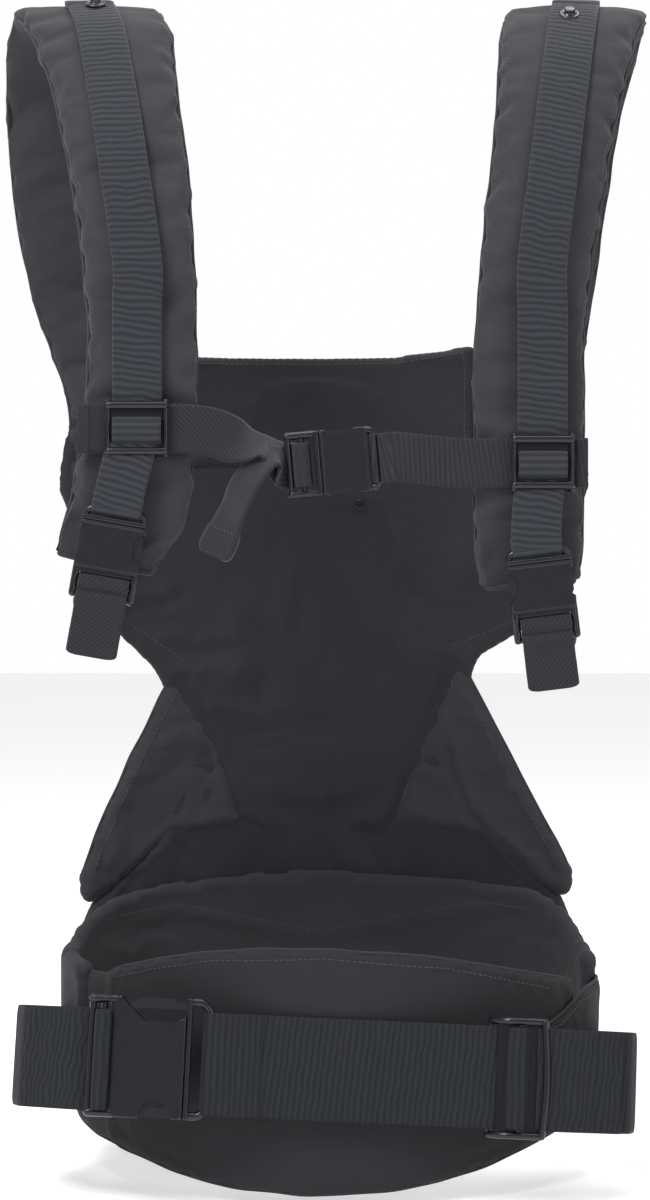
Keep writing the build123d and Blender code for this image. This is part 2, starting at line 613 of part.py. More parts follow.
def build_studs():
    align = (Align.CENTER, Align.CENTER, Align.MIN)
    stud = Cylinder(STUD_FLANGE_R, 1.0, align=align) + Cylinder(STUD_R, STUD_TALL + 1.0, align=align)
    for side in ("left", "right"):
        save(stud_plane(side).location * stud, f"hood_stud_{side}")


def main():
    os.makedirs(OUT, exist_ok=True)
    build_panel()
    build_neck_support()
    build_seat()
    build_waist_band()
    build_side("left", LEFT_PAD, LEFT_BUCKLE, LEFT_SLOPE, LEFT_SLIDER[0], 302.0, -2, 29)
    build_side("right", RIGHT_PAD, RIGHT_BUCKLE, RIGHT_SLOPE, RIGHT_SLIDER[0], 284.0, 2, 25)
    build_chest_strap()
    build_belt()
    build_studs()


if __name__ == "__main__":
    main()
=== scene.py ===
from math import cos, pi, radians, sin

import bmesh
import bpy
import numpy as np
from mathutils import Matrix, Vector, noise
from mathutils.bvhtree import BVHTree
from mathutils.geometry import delaunay_2d_cdt


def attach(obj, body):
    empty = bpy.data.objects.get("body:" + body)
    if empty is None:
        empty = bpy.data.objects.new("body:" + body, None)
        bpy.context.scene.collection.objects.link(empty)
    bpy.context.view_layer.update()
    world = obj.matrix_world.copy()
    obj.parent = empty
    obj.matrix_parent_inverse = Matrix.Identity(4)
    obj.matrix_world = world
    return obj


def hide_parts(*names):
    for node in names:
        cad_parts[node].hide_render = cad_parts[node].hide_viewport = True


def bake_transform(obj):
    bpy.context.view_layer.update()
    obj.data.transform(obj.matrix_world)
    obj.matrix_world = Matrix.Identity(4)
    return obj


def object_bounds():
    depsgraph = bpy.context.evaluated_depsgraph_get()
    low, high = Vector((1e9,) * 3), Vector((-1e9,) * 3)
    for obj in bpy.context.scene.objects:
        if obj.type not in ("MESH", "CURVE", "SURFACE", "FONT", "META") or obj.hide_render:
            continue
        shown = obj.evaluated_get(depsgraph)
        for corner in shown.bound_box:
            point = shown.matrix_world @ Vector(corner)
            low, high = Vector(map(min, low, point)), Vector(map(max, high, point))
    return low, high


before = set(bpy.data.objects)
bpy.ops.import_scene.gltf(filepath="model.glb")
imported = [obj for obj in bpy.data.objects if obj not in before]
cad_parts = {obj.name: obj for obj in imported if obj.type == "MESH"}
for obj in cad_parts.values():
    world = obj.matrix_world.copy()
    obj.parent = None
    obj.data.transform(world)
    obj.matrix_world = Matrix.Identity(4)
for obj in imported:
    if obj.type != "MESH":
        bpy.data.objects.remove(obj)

CAD_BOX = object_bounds()
MM = 0.001

# ------------------------------------------------------------------------------------ driving sizes
NARROW, NARROW_THICK = 25.0, 1.6  # chest, shoulder and side webbing
BELT, BELT_THICK = 50.0, 2.0
RIB_PITCH = 3.47  # shoulder webbing
BELT_RIB_PITCH = 3.0
TWILL_PITCH = 2.6

PANEL_AXIS_Y = -100.0
PANEL_R = 215.6  # middle of the panel's thickness
PANEL_THICK = 7.2
FOLD_Z = 318.0
NECK_HALF = 86.0

# Each stop: x, y, z of the pad's middle, width, thickness, turn about Z in degrees.
LEFT_PAD = [
    (-112.5, -69, 252, 57, 10, 0),
    (-109.5, -70, 264, 52, 13, 0),
    (-101, -71, 281, 61, 15, 0),
    (-97, -71, 300, 61, 15, 0),
    (-95, -71, 320, 58, 15, 0),
    (-93, -71, 365, 57, 15, 0),
    (-95, -71, 408, 58, 15, 0),
    (-100, -65, 450, 61, 15, 0),
    (-108, -49, 494, 65, 15, 0),
    (-117, -23, 530, 72, 15, 0),
    (-128, 8, 545, 76, 15, 2),
    (-138, 38, 535, 72, 15, 5),
    (-144, 62, 503, 66, 15, 10),
    (-145, 77, 458, 62, 14, 18),
    (-137, 86, 406, 60, 13, 26),
    (-126, 84, 368, 59, 12, 31),
    (-119, 77, 342, 58, 10, 33),
    (-119, 74, 318, 57, 9, 33),
    (-120, 72, 297, 56, 8, 33),
]
RIGHT_PAD = [
    (105, -69, 241, 52, 10, 0),
    (104, -70, 255, 56, 13, 0),
    (104, -71, 272, 57, 15, 0),
    (104, -71, 315, 58, 15, 0),
    (104, -71, 362, 57, 15, 0),
    (108, -71, 404, 58, 15, 0),
    (114, -65, 448, 60, 15, 0),
    (121, -49, 494, 65, 15, 0),
    (128, -23, 530, 72, 15, 0),
    (134, 8, 545, 76, 15, -2),
    (135, 38, 535, 71, 15, -5),
    (132, 62, 503, 65, 15, -10),
    (129, 77, 458, 61, 14, -18),
    (124, 86, 406, 59, 13, -26),
    (120, 84, 368, 58, 12, -31),
    (118, 77, 342, 57, 10, -33),
    (118, 74, 318, 57, 9, -33),
    (119, 72, 297, 56, 8, -33),
]
LEFT_SLIDER = (-95.0, 320.6)
RIGHT_SLIDER = (110.0, 303.4)
WEBBING_Y = -84.9
STRAIGHT_TOP_Z = 410.0
LEFT_BUCKLE, LEFT_SLOPE = (-110.5, -88.0, 248.5), 10.0
RIGHT_BUCKLE, RIGHT_SLOPE = (110.6, -88.0, 228.5), -7.0
CHEST_WEBBING_Y = -82.9
CHEST_BUCKLE, CHEST_SLOPE = (22.0, -84.0, 305.2), 5.0
SMALL_LADDER = 15.0
SMALL_BAR_X = 24.3 + 2.6 + 5.4 - 1.5  # sewn-in bar of an insert, from the receptacle's base
SMALL_BASE_X = -(5.4 - 1.5)  # sewn-in bar of a receptacle
SMALL_LADDER_X = 24.3 + 2.6 + 15.0  # end of an insert's ladder


# ---------------------------------------------------------------------------------------- materials
WAVE = 3.18  # a wave texture's bands lie 1 / WAVE apart at scale 1


def new_material(name):
    mat = bpy.data.materials.new(name)
    mat.use_nodes = True
    nodes = mat.node_tree.nodes
    return mat, nodes, mat.node_tree.links, nodes["Principled BSDF"]


def math_node(nodes, links, operation, a, b):
    node = nodes.new("ShaderNodeMath")
    node.operation = operation
    for socket, value in zip(node.inputs, (a, b)):
        if isinstance(value, (int, float)):
            socket.default_value = value
        else:
            links.new(value, socket)
    return node.outputs[0]


def tint(nodes, links, base, spread, factor):
    """A colour that wanders between two shades round the base."""
    mix = nodes.new("ShaderNodeMix")
    mix.data_type = "RGBA"
    mix.inputs[6].default_value = (*[c * (1 - spread) for c in base], 1)
    mix.inputs[7].default_value = (*[c * (1 + spread) for c in base], 1)
    links.new(factor, mix.inputs[0])
    return mix.outputs[2]


def noise_node(nodes, links, source, scale, detail):
    texture = nodes.new("ShaderNodeTexNoise")
    texture.inputs["Scale"].default_value = scale
    texture.inputs["Detail"].default_value = detail
    links.new(source, texture.inputs["Vector"])
    return texture.outputs["Fac"]


def woven(name, base, warp=0.62, weft=0.62, slant=0.0, bump=0.35, sheen=0.2, spread=0.22, ribs=0.0):
    """Cloth with a real thread pitch: UVs are laid out in millimetres. Webbing gets a painted highlight on
    its ribs and painted shade between them.
    """
    mat, nodes, links, shader = new_material(name)
    place = nodes.new("ShaderNodeTexCoord")
    turn = nodes.new("ShaderNodeMapping")
    turn.inputs["Rotation"].default_value = (0, 0, radians(slant))
    links.new(place.outputs["UV"], turn.inputs["Vector"])
    waves = []
    for direction, pitch in (("X", warp), ("Y", weft)):
        wave = nodes.new("ShaderNodeTexWave")
        wave.bands_direction = direction
        wave.inputs["Scale"].default_value = 1 / (pitch * WAVE)
        wave.inputs["Distortion"].default_value = 0.35
        wave.inputs["Detail"].default_value = 1.0
        links.new(turn.outputs[0], wave.inputs["Vector"])
        waves.append(wave.outputs["Fac"])
    threads = math_node(nodes, links, "MULTIPLY", *waves)
    fibres = noise_node(nodes, links, place.outputs["Object"], 1400, 3)
    wear = noise_node(nodes, links, place.outputs["Object"], 28, 5)
    pilling = noise_node(nodes, links, place.outputs["Object"], 330, 4)
    wear = math_node(nodes, links, "MULTIPLY", math_node(nodes, links, "ADD", wear, pilling), 0.5)
    fuzz = math_node(nodes, links, "MULTIPLY", fibres, 0.6)
    relief = nodes.new("ShaderNodeBump")
    relief.inputs["Strength"].default_value = bump
    relief.inputs["Distance"].default_value = 0.0004
    links.new(math_node(nodes, links, "ADD", threads, fuzz), relief.inputs["Height"])
    links.new(relief.outputs[0], shader.inputs["Normal"])
    shade = math_node(nodes, links, "MULTIPLY", threads, 0.45)
    shade = math_node(nodes, links, "ADD", shade, math_node(nodes, links, "MULTIPLY", wear, 0.75))
    # Painted highlight and shade: a wave at the rib pitch lightens the ribs and darkens the grooves, on top
    # of their relief.
    if ribs:
        rib = nodes.new("ShaderNodeTexWave")
        rib.inputs["Scale"].default_value = 1 / (ribs * WAVE)
        links.new(place.outputs["UV"], rib.inputs["Vector"])
        shade = math_node(nodes, links, "MULTIPLY", shade, 0.45)
        light = math_node(nodes, links, "MULTIPLY", rib.outputs["Fac"], 0.6)
        shade = math_node(nodes, links, "ADD", shade, light)
    links.new(tint(nodes, links, base, spread, shade), shader.inputs["Base Color"])
    roughness = math_node(nodes, links, "MULTIPLY", fibres, 0.2)
    links.new(math_node(nodes, links, "ADD", roughness, 0.75), shader.inputs["Roughness"])
    shader.inputs["Sheen Weight"].default_value = sheen
    shader.inputs["Sheen Roughness"].default_value = 0.45
    shader.inputs["Specular IOR Level"].default_value = 0.25
    return mat


def moulded(name, base=(0.0056, 0.0063, 0.0094), rough=0.22, coat=0.35):
    """Satin acetal with a fine moulded grain and handling marks."""
    mat, nodes, links, shader = new_material(name)
    place = nodes.new("ShaderNodeTexCoord").outputs["Object"]
    grain = noise_node(nodes, links, place, 2600, 2)
    marks = noise_node(nodes, links, place, 160, 6)
    relief = nodes.new("ShaderNodeBump")
    relief.inputs["Strength"].default_value = 0.12
    relief.inputs["Distance"].default_value = 0.0001
    links.new(grain, relief.inputs["Height"])
    links.new(relief.outputs[0], shader.inputs["Normal"])
    roughness = math_node(nodes, links, "MULTIPLY", marks, 0.22)
    links.new(math_node(nodes, links, "ADD", roughness, rough - 0.11), shader.inputs["Roughness"])
    links.new(tint(nodes, links, base, 0.2, marks), shader.inputs["Base Color"])
    shader.inputs["Specular IOR Level"].default_value = 0.22
    shader.inputs["Coat Weight"].default_value = coat
    shader.inputs["Coat Roughness"].default_value = 0.2
    return mat


CANVAS = woven("canvas", (0.0290, 0.0290, 0.0345), sheen=0.12, spread=0.32)
# The waist pad and the wrap use the same canvas made darker: painted shade for the low pieces, darkest on the
# wrap, which faces the lamps.
SHADED_WAIST_CANVAS = woven("canvas_waist_painted_shade", (0.0255, 0.0252, 0.0300), sheen=0.05, spread=0.3)
SHADED_FLAP_CANVAS = woven("canvas_flap_painted_shade", (0.0170, 0.0165, 0.0200), sheen=0.04, spread=0.3)
LINING = woven("lining", (0.0172, 0.0176, 0.0215), warp=0.5, weft=0.5, bump=0.25, sheen=0.12, spread=0.35)
EDGE_CANVAS = woven("canvas_edge", (0.0262, 0.0262, 0.0315), sheen=0.12, spread=0.3)
RIBBED = woven("webbing_ribbed", (0.0205, 0.0225, 0.0290), 0.9, 0.7, bump=0.5, spread=0.6, ribs=RIB_PITCH)
# The belt's base is darkened by about half as painted shade, because the belt hangs low, where less light
# falls from above.
BELTING = woven("webbing_belt", (0.0105, 0.0122, 0.0160), 0.9, 0.7, bump=0.5, sheen=0.03, spread=0.5,
                ribs=BELT_RIB_PITCH)
TWILL = woven("webbing_twill", (0.0152, 0.0163, 0.0198), 0.8, 0.8, 45, bump=0.5, sheen=0.15, spread=0.5,
              ribs=TWILL_PITCH)
THREAD = woven("thread", (0.038, 0.039, 0.045), warp=0.3, weft=0.3, sheen=0.3)
TWILL_TAPE = (NARROW_THICK, TWILL, TWILL_PITCH)
PLASTIC = moulded("plastic")
# Near-black sheet material that stands for the shade in slots and gaps: painted shade.
SHADED = moulded("plastic_painted_shade", (0.0022, 0.0022, 0.0036), rough=0.6, coat=0.0)
ENAMEL = moulded("enamel", rough=0.16, coat=0.6)


# ------------------------------------------------------------------------------------- mesh helpers
def make(name, points, faces, material, uvs=None, smooth=True):
    """Mesh object from points in millimetres."""
    mesh = bpy.data.meshes.new(name)
    mesh.from_pydata((np.asarray(points, float) * MM).tolist(), [], [list(f) for f in faces])
    if uvs is not None:
        layer = mesh.uv_layers.new(name="UVMap")
        loops = np.zeros(len(mesh.loops), np.int32)
        mesh.loops.foreach_get("vertex_index", loops)
        layer.data.foreach_set("uv", np.asarray(uvs, float)[loops].astype(np.float32).ravel())
    mesh.materials.append(material)
    mesh.polygons.foreach_set("use_smooth", [smooth] * len(mesh.polygons))
    obj = bpy.data.objects.new(name, mesh)
    bpy.context.scene.collection.objects.link(obj)
    return obj


def grid_faces(rows, columns, closed=False, start=0):
    """Quads of a grid of points, rows by columns, optionally closed along its columns."""
    faces = []
    wide = columns if closed else columns - 1
    for i in range(rows - 1):
        for j in range(wide):
            k = (j + 1) % columns
            a, b = start + i * columns, start + (i + 1) * columns
            faces.append((a + j, a + k, b + k, b + j))
    return faces


def through(stops, step):
    """Smooth rows through given stops, about step apart along their first three columns."""
    p = np.array(stops, float)
    p = np.vstack([2 * p[0] - p[1], p, 2 * p[-1] - p[-2]])
    rows = []
    for a, b, c, d in zip(p, p[1:], p[2:], p[3:]):
        n = max(1, round(np.linalg.norm(c[:3] - b[:3]) / step))
        for t in np.arange(n) / n:
            bend = (c - a) * t + (2 * a - 5 * b + 4 * c - d) * t**2 + (3 * b - a - 3 * c + d) * t**3
            rows.append(b + bend / 2)
    rows.append(p[-2])
    return np.array(rows)


def lengths(line):
    return np.concatenate([[0], np.cumsum(np.linalg.norm(np.diff(line, axis=0), axis=1))])


def resample(line, count):
    """The line's points, evenly spaced."""
    along = lengths(line)
    at = np.linspace(0, along[-1], count)
    return np.stack([np.interp(at, along, line[:, k]) for k in range(line.shape[1])], 1)


def soften(line, sigma, closed=False):
    """Round the corners of a line of points 1 mm apart."""
    reach = int(3 * sigma) + 1
    kernel = np.exp(-0.5 * (np.arange(-reach, reach + 1) / sigma) ** 2)
    kernel /= kernel.sum()
    if closed:
        padded = np.vstack([line[-reach:], line, line[:reach]])
    else:
        steps = np.arange(1, reach + 1)[:, None]
        before = line[0] - steps[::-1] * (line[1] - line[0])
        after = line[-1] + steps * (line[-1] - line[-2])
        padded = np.vstack([before, line, after])
    return np.stack([np.convolve(padded[:, k], kernel, "valid") for k in range(line.shape[1])], 1)


def rounded_line(corners, step, sigma=2.5):
    corners = np.array(corners, float)
    line = resample(corners, int(lengths(corners)[-1]) + 2)
    line = soften(line, sigma)
    return resample(line, int(lengths(line)[-1] / step) + 2)


def rounded_outline(corners, step, sigma=2.5):
    """Closed outline with softened corners, without repeating its first point."""
    corners = np.array([*corners, corners[0]], float)
    line = resample(corners, int(lengths(corners)[-1]) + 2)[:-1]
    line = soften(line, sigma, closed=True)
    line = np.vstack([line, line[:1]])
    return resample(line, int(lengths(line)[-1] / step) + 2)[:-1]


def unit(v):
    return v / np.maximum(np.linalg.norm(v, axis=-1, keepdims=True), 1e-9)


def frames(line, across):
    """Tangent, across and outward directions at each row; outward is across times tangent."""
    tangent = unit(np.gradient(line, axis=0))
    across = unit(across - tangent * (across * tangent).sum(1, keepdims=True))
    return tangent, across, np.cross(across, tangent)


def wobble(points, scale, seed):
    """Smooth noise from -1 to 1 at each point; scale is the size of its features in millimetres."""
    shape = np.asarray(points).shape[:-1]
    flat = np.asarray(points, float).reshape(-1, np.asarray(points).shape[-1]) / scale
    if flat.shape[1] == 2:
        flat = np.hstack([flat, np.zeros((len(flat), 1))])
    return np.array([noise.noise(Vector(p + seed * 7.3)) for p in flat]).reshape(shape)


def nearest(points, line, closed=False):
    """Distance of each flat point to the line, and how far along the line its nearest place is."""
    ends = np.roll(line, -1, 0) if closed else line[1:]
    starts = line if closed else line[:-1]
    way = ends - starts
    size = np.maximum((way**2).sum(1), 1e-9)
    start_at = np.concatenate([[0], np.cumsum(np.sqrt(size))[:-1]])
    best, at = np.full(len(points), 1e9), np.zeros(len(points))
    for a, w, s, begin in zip(starts, way, size, start_at):
        t = np.clip(((points - a) @ w) / s, 0, 1)
        d = np.hypot(*(points - a - t[:, None] * w).T)
        closer = d < best
        best[closer] = d[closer]
        at[closer] = begin + t[closer] * s**0.5
    return best, at


def inside(points, outline):
    """Even-odd test of flat points against a closed outline."""
    x, y = points.T
    result = np.zeros(len(points), bool)
    for (x0, y0), (x1, y1) in zip(outline, np.roll(outline, -1, 0)):
        if y0 != y1:
            result ^= ((y0 > y) != (y1 > y)) & (x < (x1 - x0) * (y - y0) / (y1 - y0) + x0)
    return result


def points_of(obj):
    """The mesh's points in millimetres."""
    co = np.zeros(len(obj.data.vertices) * 3, np.float32)
    obj.data.vertices.foreach_get("co", co)
    return co.reshape(-1, 3).astype(float) / MM


def set_points(obj, points):
    obj.data.vertices.foreach_set("co", (np.asarray(points) * MM).astype(np.float32).ravel())
    obj.data.update()


def normals_of(obj):
    obj.data.update()
    n = np.zeros(len(obj.data.vertices) * 3, np.float32)
    obj.data.vertices.foreach_get("normal", n)
    return n.reshape(-1, 3).astype(float)


def settled(obj, indices):
    """Where the mesh's points lie once its subdivision has smoothed it."""
    bpy.context.view_layer.update()
    shaped = obj.evaluated_get(bpy.context.evaluated_depsgraph_get())
    co = np.zeros(len(shaped.data.vertices) * 3, np.float32)
    shaped.data.vertices.foreach_get("co", co)
    return co.reshape(-1, 3).astype(float)[indices] / MM


def subdivide(obj, levels=1):
    modifier = obj.modifiers.new("Subdivision", "SUBSURF")
    modifier.levels = modifier.render_levels = levels
    return obj


def ride(obj, body, slot, *nodes):
    """The piece rides on the body and stands for the nodes, which it hides. The slot is not used."""
    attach(obj, body)
    if nodes:
        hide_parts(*nodes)
    return obj


def span(obj, first, second, start, end, slot, *nodes):
    """The piece keeps its place, with its transform baked, and stands for the nodes, which it hides. first,
    second and slot are not used; start and end have no effect.
    """
    tuple(c * MM for c in start)
    tuple(c * MM for c in end)
    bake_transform(obj)
    if nodes:
        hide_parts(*nodes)
    return obj


def simulate(obj, pins, pressure, grow, cap, bend=0.4):
    """Cloth under pressure, with its pins held, applied to the mesh. No point moves further than cap."""
    group = obj.vertex_groups.new(name="held")
    group.add([int(i) for i in pins], 1.0, "REPLACE")
    rest = points_of(obj)
    cloth = obj.modifiers.new("Cloth", "CLOTH")
    settings = cloth.settings
    settings.quality = 5
    settings.mass = 0.25
    settings.tension_stiffness = settings.compression_stiffness = 14
    settings.shear_stiffness = 6
    settings.bending_stiffness = bend
    settings.vertex_group_mass = "held"
    settings.use_pressure = True
    settings.uniform_pressure_force = pressure
    settings.shrink_min = -grow
    settings.effector_weights.gravity = 0
    cloth.collision_settings.use_collision = False
    scene = bpy.context.scene
    for number in range(1, 21):
        scene.frame_set(number)
    mesh = bpy.data.meshes.new_from_object(obj.evaluated_get(bpy.context.evaluated_depsgraph_get()))
    moved = np.zeros(len(mesh.vertices) * 3, np.float32)
    mesh.vertices.foreach_get("co", moved)
    bpy.data.meshes.remove(mesh)
    obj.modifiers.remove(cloth)
    obj.vertex_groups.remove(group)
    scene.frame_set(1)
    move = moved.reshape(-1, 3).astype(float) / MM - rest
    size = np.linalg.norm(move, axis=1, keepdims=True)
    set_points(obj, rest + move * np.minimum(1, cap / np.maximum(size, 1e-9)))


# ------------------------------------------------------------------------------------- sewn pieces
class Sewn:
    """A padded or doubled fabric piece: two faces sewn together along its outline and its channels.

    The outline lies in flat coordinates (u, z), and place(u, z, depth) puts it in space. Depth runs from the
    face that is seen first, which is negative, to the other one.
    """

    def __init__(self, name, outline, place, thick, material, cell=4.0, rim=6.0, channels=(), sunk=0.75):
        self.place, self.outline = place, np.asarray(outline)
        flat, triangles = self.triangles(cell, channels)
        distance, self.at = nearest(flat, self.outline, closed=True)
        self.distance = np.where(distance < 0.05, 0.0, distance)
        self.to_channel = np.full(len(flat), 99.0)
        for line in channels:
            self.to_channel = np.minimum(self.to_channel, nearest(flat, np.asarray(line))[0])
        crown = np.sqrt(np.clip(1 - (1 - np.clip(self.distance / rim, 0, 1)) ** 2, 0, 1))
        half = thick / 2 * crown * (1 - sunk * np.exp(-((self.to_channel / 2.5) ** 2)))
        rim_points = self.distance == 0
        count = len(flat)
        other = np.arange(count)
        other[~rim_points] = count + np.arange((~rim_points).sum())
        faces = [tuple(t) for t in triangles] + [tuple(other[list(reversed(t))]) for t in triangles]
        u, z = flat.T
        front, back = place(u, z, -half), place(u, z, half)[~rim_points]
        self.flat = np.vstack([flat, flat[~rim_points]])
        self.distance = np.concatenate([self.distance, self.distance[~rim_points]])
        self.to_channel = np.concatenate([self.to_channel, self.to_channel[~rim_points]])
        self.at = np.concatenate([self.at, self.at[~rim_points]])
        self.side = np.concatenate([np.where(rim_points, 0, -1), np.ones(len(back))])
        u, z = self.flat.T
        self.depth = unit(place(u, z, np.ones(len(u))) - place(u, z, -np.ones(len(u))))
        points = np.vstack([front, back])
        if self.turned(points, triangles):
            faces = [tuple(reversed(f)) for f in faces]
        self.obj = make(name, points, faces, material, self.flat)
        self.rim = np.array([int(np.argmin(np.hypot(*(flat - p).T))) for p in self.outline])

    def triangles(self, cell, channels):
        low, high = self.outline.min(0), self.outline.max(0)
        step = cell * 0.866
        inner = []
        for i, z in enumerate(np.arange(low[1] + step / 2, high[1], step)):
            xs = np.arange(low[0] + (i % 2) * cell / 2, high[0], cell)
            inner.append(np.stack([xs, np.full(len(xs), z)], 1))
        inner = np.vstack(inner)
        inner = inner[inside(inner, self.outline)]
        inner = inner[nearest(inner, self.outline, closed=True)[0] > cell * 0.55]
        for line in channels:
            line = np.asarray(line)
            inner = inner[nearest(inner, line)[0] > cell * 0.6]
            own = resample(line, int(lengths(line)[-1] / (cell * 0.6)) + 2)
            own = own[inside(own, self.outline)]
            own = own[nearest(own, self.outline, closed=True)[0] > cell * 0.4]
            inner = np.vstack([inner, own])
        count = len(self.outline)
        flat = [Vector(p) for p in np.vstack([self.outline, inner])]
        edges = [(i, (i + 1) % count) for i in range(count)]
        points, _, triangles, *_ = delaunay_2d_cdt(flat, edges, [], 0, 1e-4)
        points = np.array([tuple(p) for p in points])
        triangles = np.array([tuple(t) for t in triangles])
        middles = points[triangles].mean(1)
        return points, triangles[inside(middles, self.outline)]

    def turned(self, points, triangles):
        """Whether the front face's triangles point away from its own side."""
        a, b, c = (points[triangles[:, k]] for k in range(3))
        return (np.cross(b - a, c - a) * self.depth[triangles[:, 0]]).sum() > 0

    def inflate(self, pressure=3.5, grow=0.03, cap=2.5, bend=0.4):
        pins = np.nonzero((self.distance == 0) | (self.to_channel < 0.6))[0]
        simulate(self.obj, pins, pressure, grow, cap, bend)

    def shift(self, front, back=None):
        """Move each face along its own outward direction by as many millimetres."""
        amount = np.where(self.side <= 0, front, front if back is None else back)
        set_points(self.obj, points_of(self.obj) + normals_of(self.obj) * amount[:, None])

    def bend(self, amount):
        """Move both faces the same way, away from the first one."""
        set_points(self.obj, points_of(self.obj) + self.depth * amount[:, None])

    def pucker(self, height=0.5, pitch=9.0, reach=7.0, seed=1):
        """Short creases that run in from the seams."""
        rng = np.random.default_rng(seed)
        total = self.at.max() + 1
        knots = np.concatenate([[0], np.cumsum(rng.uniform(0.6, 1.4, int(total / pitch) + 3))])
        phase = np.interp(self.at, np.arange(len(knots)) * pitch, knots)
        near = np.exp(-self.distance / reach) * np.clip(self.distance / 2, 0, 1)
        self.shift(height * np.sin(2 * pi * phase) * near)

    def fold(self, line, height, width):
        """A soft crease along a flat line: both faces move towards the viewer by the height."""
        distance, at = nearest(self.flat, np.asarray(line, float))
        total = lengths(np.asarray(line, float))[-1]
        fade = np.clip(np.minimum(at, total - at) / (0.3 * total), 0, 1)
        self.bend(-height * fade * np.exp(-((distance / width) ** 2)))

    def rumple(self, height, scale, seed, stretch=(1, 1)):
        self.bend(height * wobble(self.flat * stretch, scale, seed))

    def surface(self, line):
        """Points and outward directions of the piece's first face along a flat line."""
        co = points_of(self.obj)
        faces = [tuple(p.vertices) for p in self.obj.data.polygons]
        tree = BVHTree.FromPolygons([tuple(p) for p in co], faces)
        points, ways = [], []
        for u, z in np.asarray(line, float):
            far = self.place(np.array([u]), np.array([z]), np.array([-30.0]))[0]
            mid = self.place(np.array([u]), np.array([z]), np.array([0.0]))[0]
            way = (mid - far) / np.linalg.norm(mid - far)
            hit, normal, *_ = tree.ray_cast(Vector(far), Vector(way), 60.0)
            if hit is not None:
                points.append(tuple(hit))
                ways.append(-way)
        return np.array(points), np.array(ways)

    def topstitch(self, name, line, body, slot):
        points, ways = self.surface(rounded_line(line, 1.5, 1.0))
        return ride(stitches(name, points, ways), body, slot)


def on_panel(u, z, depth):
    """Upright cylinder of the panel: u runs along its middle line."""
    r = PANEL_R + depth
    angle = u / PANEL_R
    return np.stack([r * np.sin(angle), PANEL_AXIS_Y + r * np.cos(angle), z + 0 * angle], -1)


def panel_u(x):
    return PANEL_R * np.arcsin(np.asarray(x) / PANEL_R)


def flat_panel(corners):
    """Flat points of the panel from places (x, z) seen from the front."""
    return [(panel_u(x), z) for x, z in corners]


def panel_outline(corners, step=4.0, sigma=2.5):
    return rounded_outline(flat_panel(corners), step, sigma)


RING_X = 2.5  # the wrap's middle as worn


class Ring:
    """Upright elliptical band seen from above: u runs along its middle line towards +X from its middle."""

    def __init__(self, half_width, half_depth, near):
        turn = np.linspace(-pi, pi, 4001)
        self.way = 1 if near else -1
        self.angle = (-pi / 2 if near else pi / 2) + self.way * turn
        self.size = (half_width, half_depth)
        line = np.stack([half_width * np.cos(self.angle), half_depth * np.sin(self.angle)], 1)
        self.u = lengths(line) - lengths(line)[2000]

    def along(self, x):
        """u of the place at x on this side of the band."""
        turn = np.arcsin(np.clip((np.asarray(x, float) - RING_X) / self.size[0], -1, 1))
        return np.interp(turn, np.linspace(-pi, pi, 4001), self.u)

    def reaches(self, y):
        """u of the place at y, past the band's widest point."""
        turn = pi / 2 + np.arcsin(abs(y) / self.size[1])
        return np.interp(turn, np.linspace(-pi, pi, 4001), self.u)

    def flat(self, *corners):
        """Flat points of the band from places (x, z) seen from the front."""
        return [(self.along(x), z) for x, z in corners]

    def place(self, u, z, depth):
        angle = np.interp(u, self.u, self.angle)
        half_width, half_depth = self.size
        x, y = half_width * np.cos(angle), half_depth * np.sin(angle)
        normal = unit(np.stack([np.cos(angle) / half_width, np.sin(angle) / half_depth], -1))
        outward = -self.way * depth
        return np.stack([x + RING_X + normal[..., 0] * outward, y + normal[..., 1] * outward, z + 0 * x], -1)


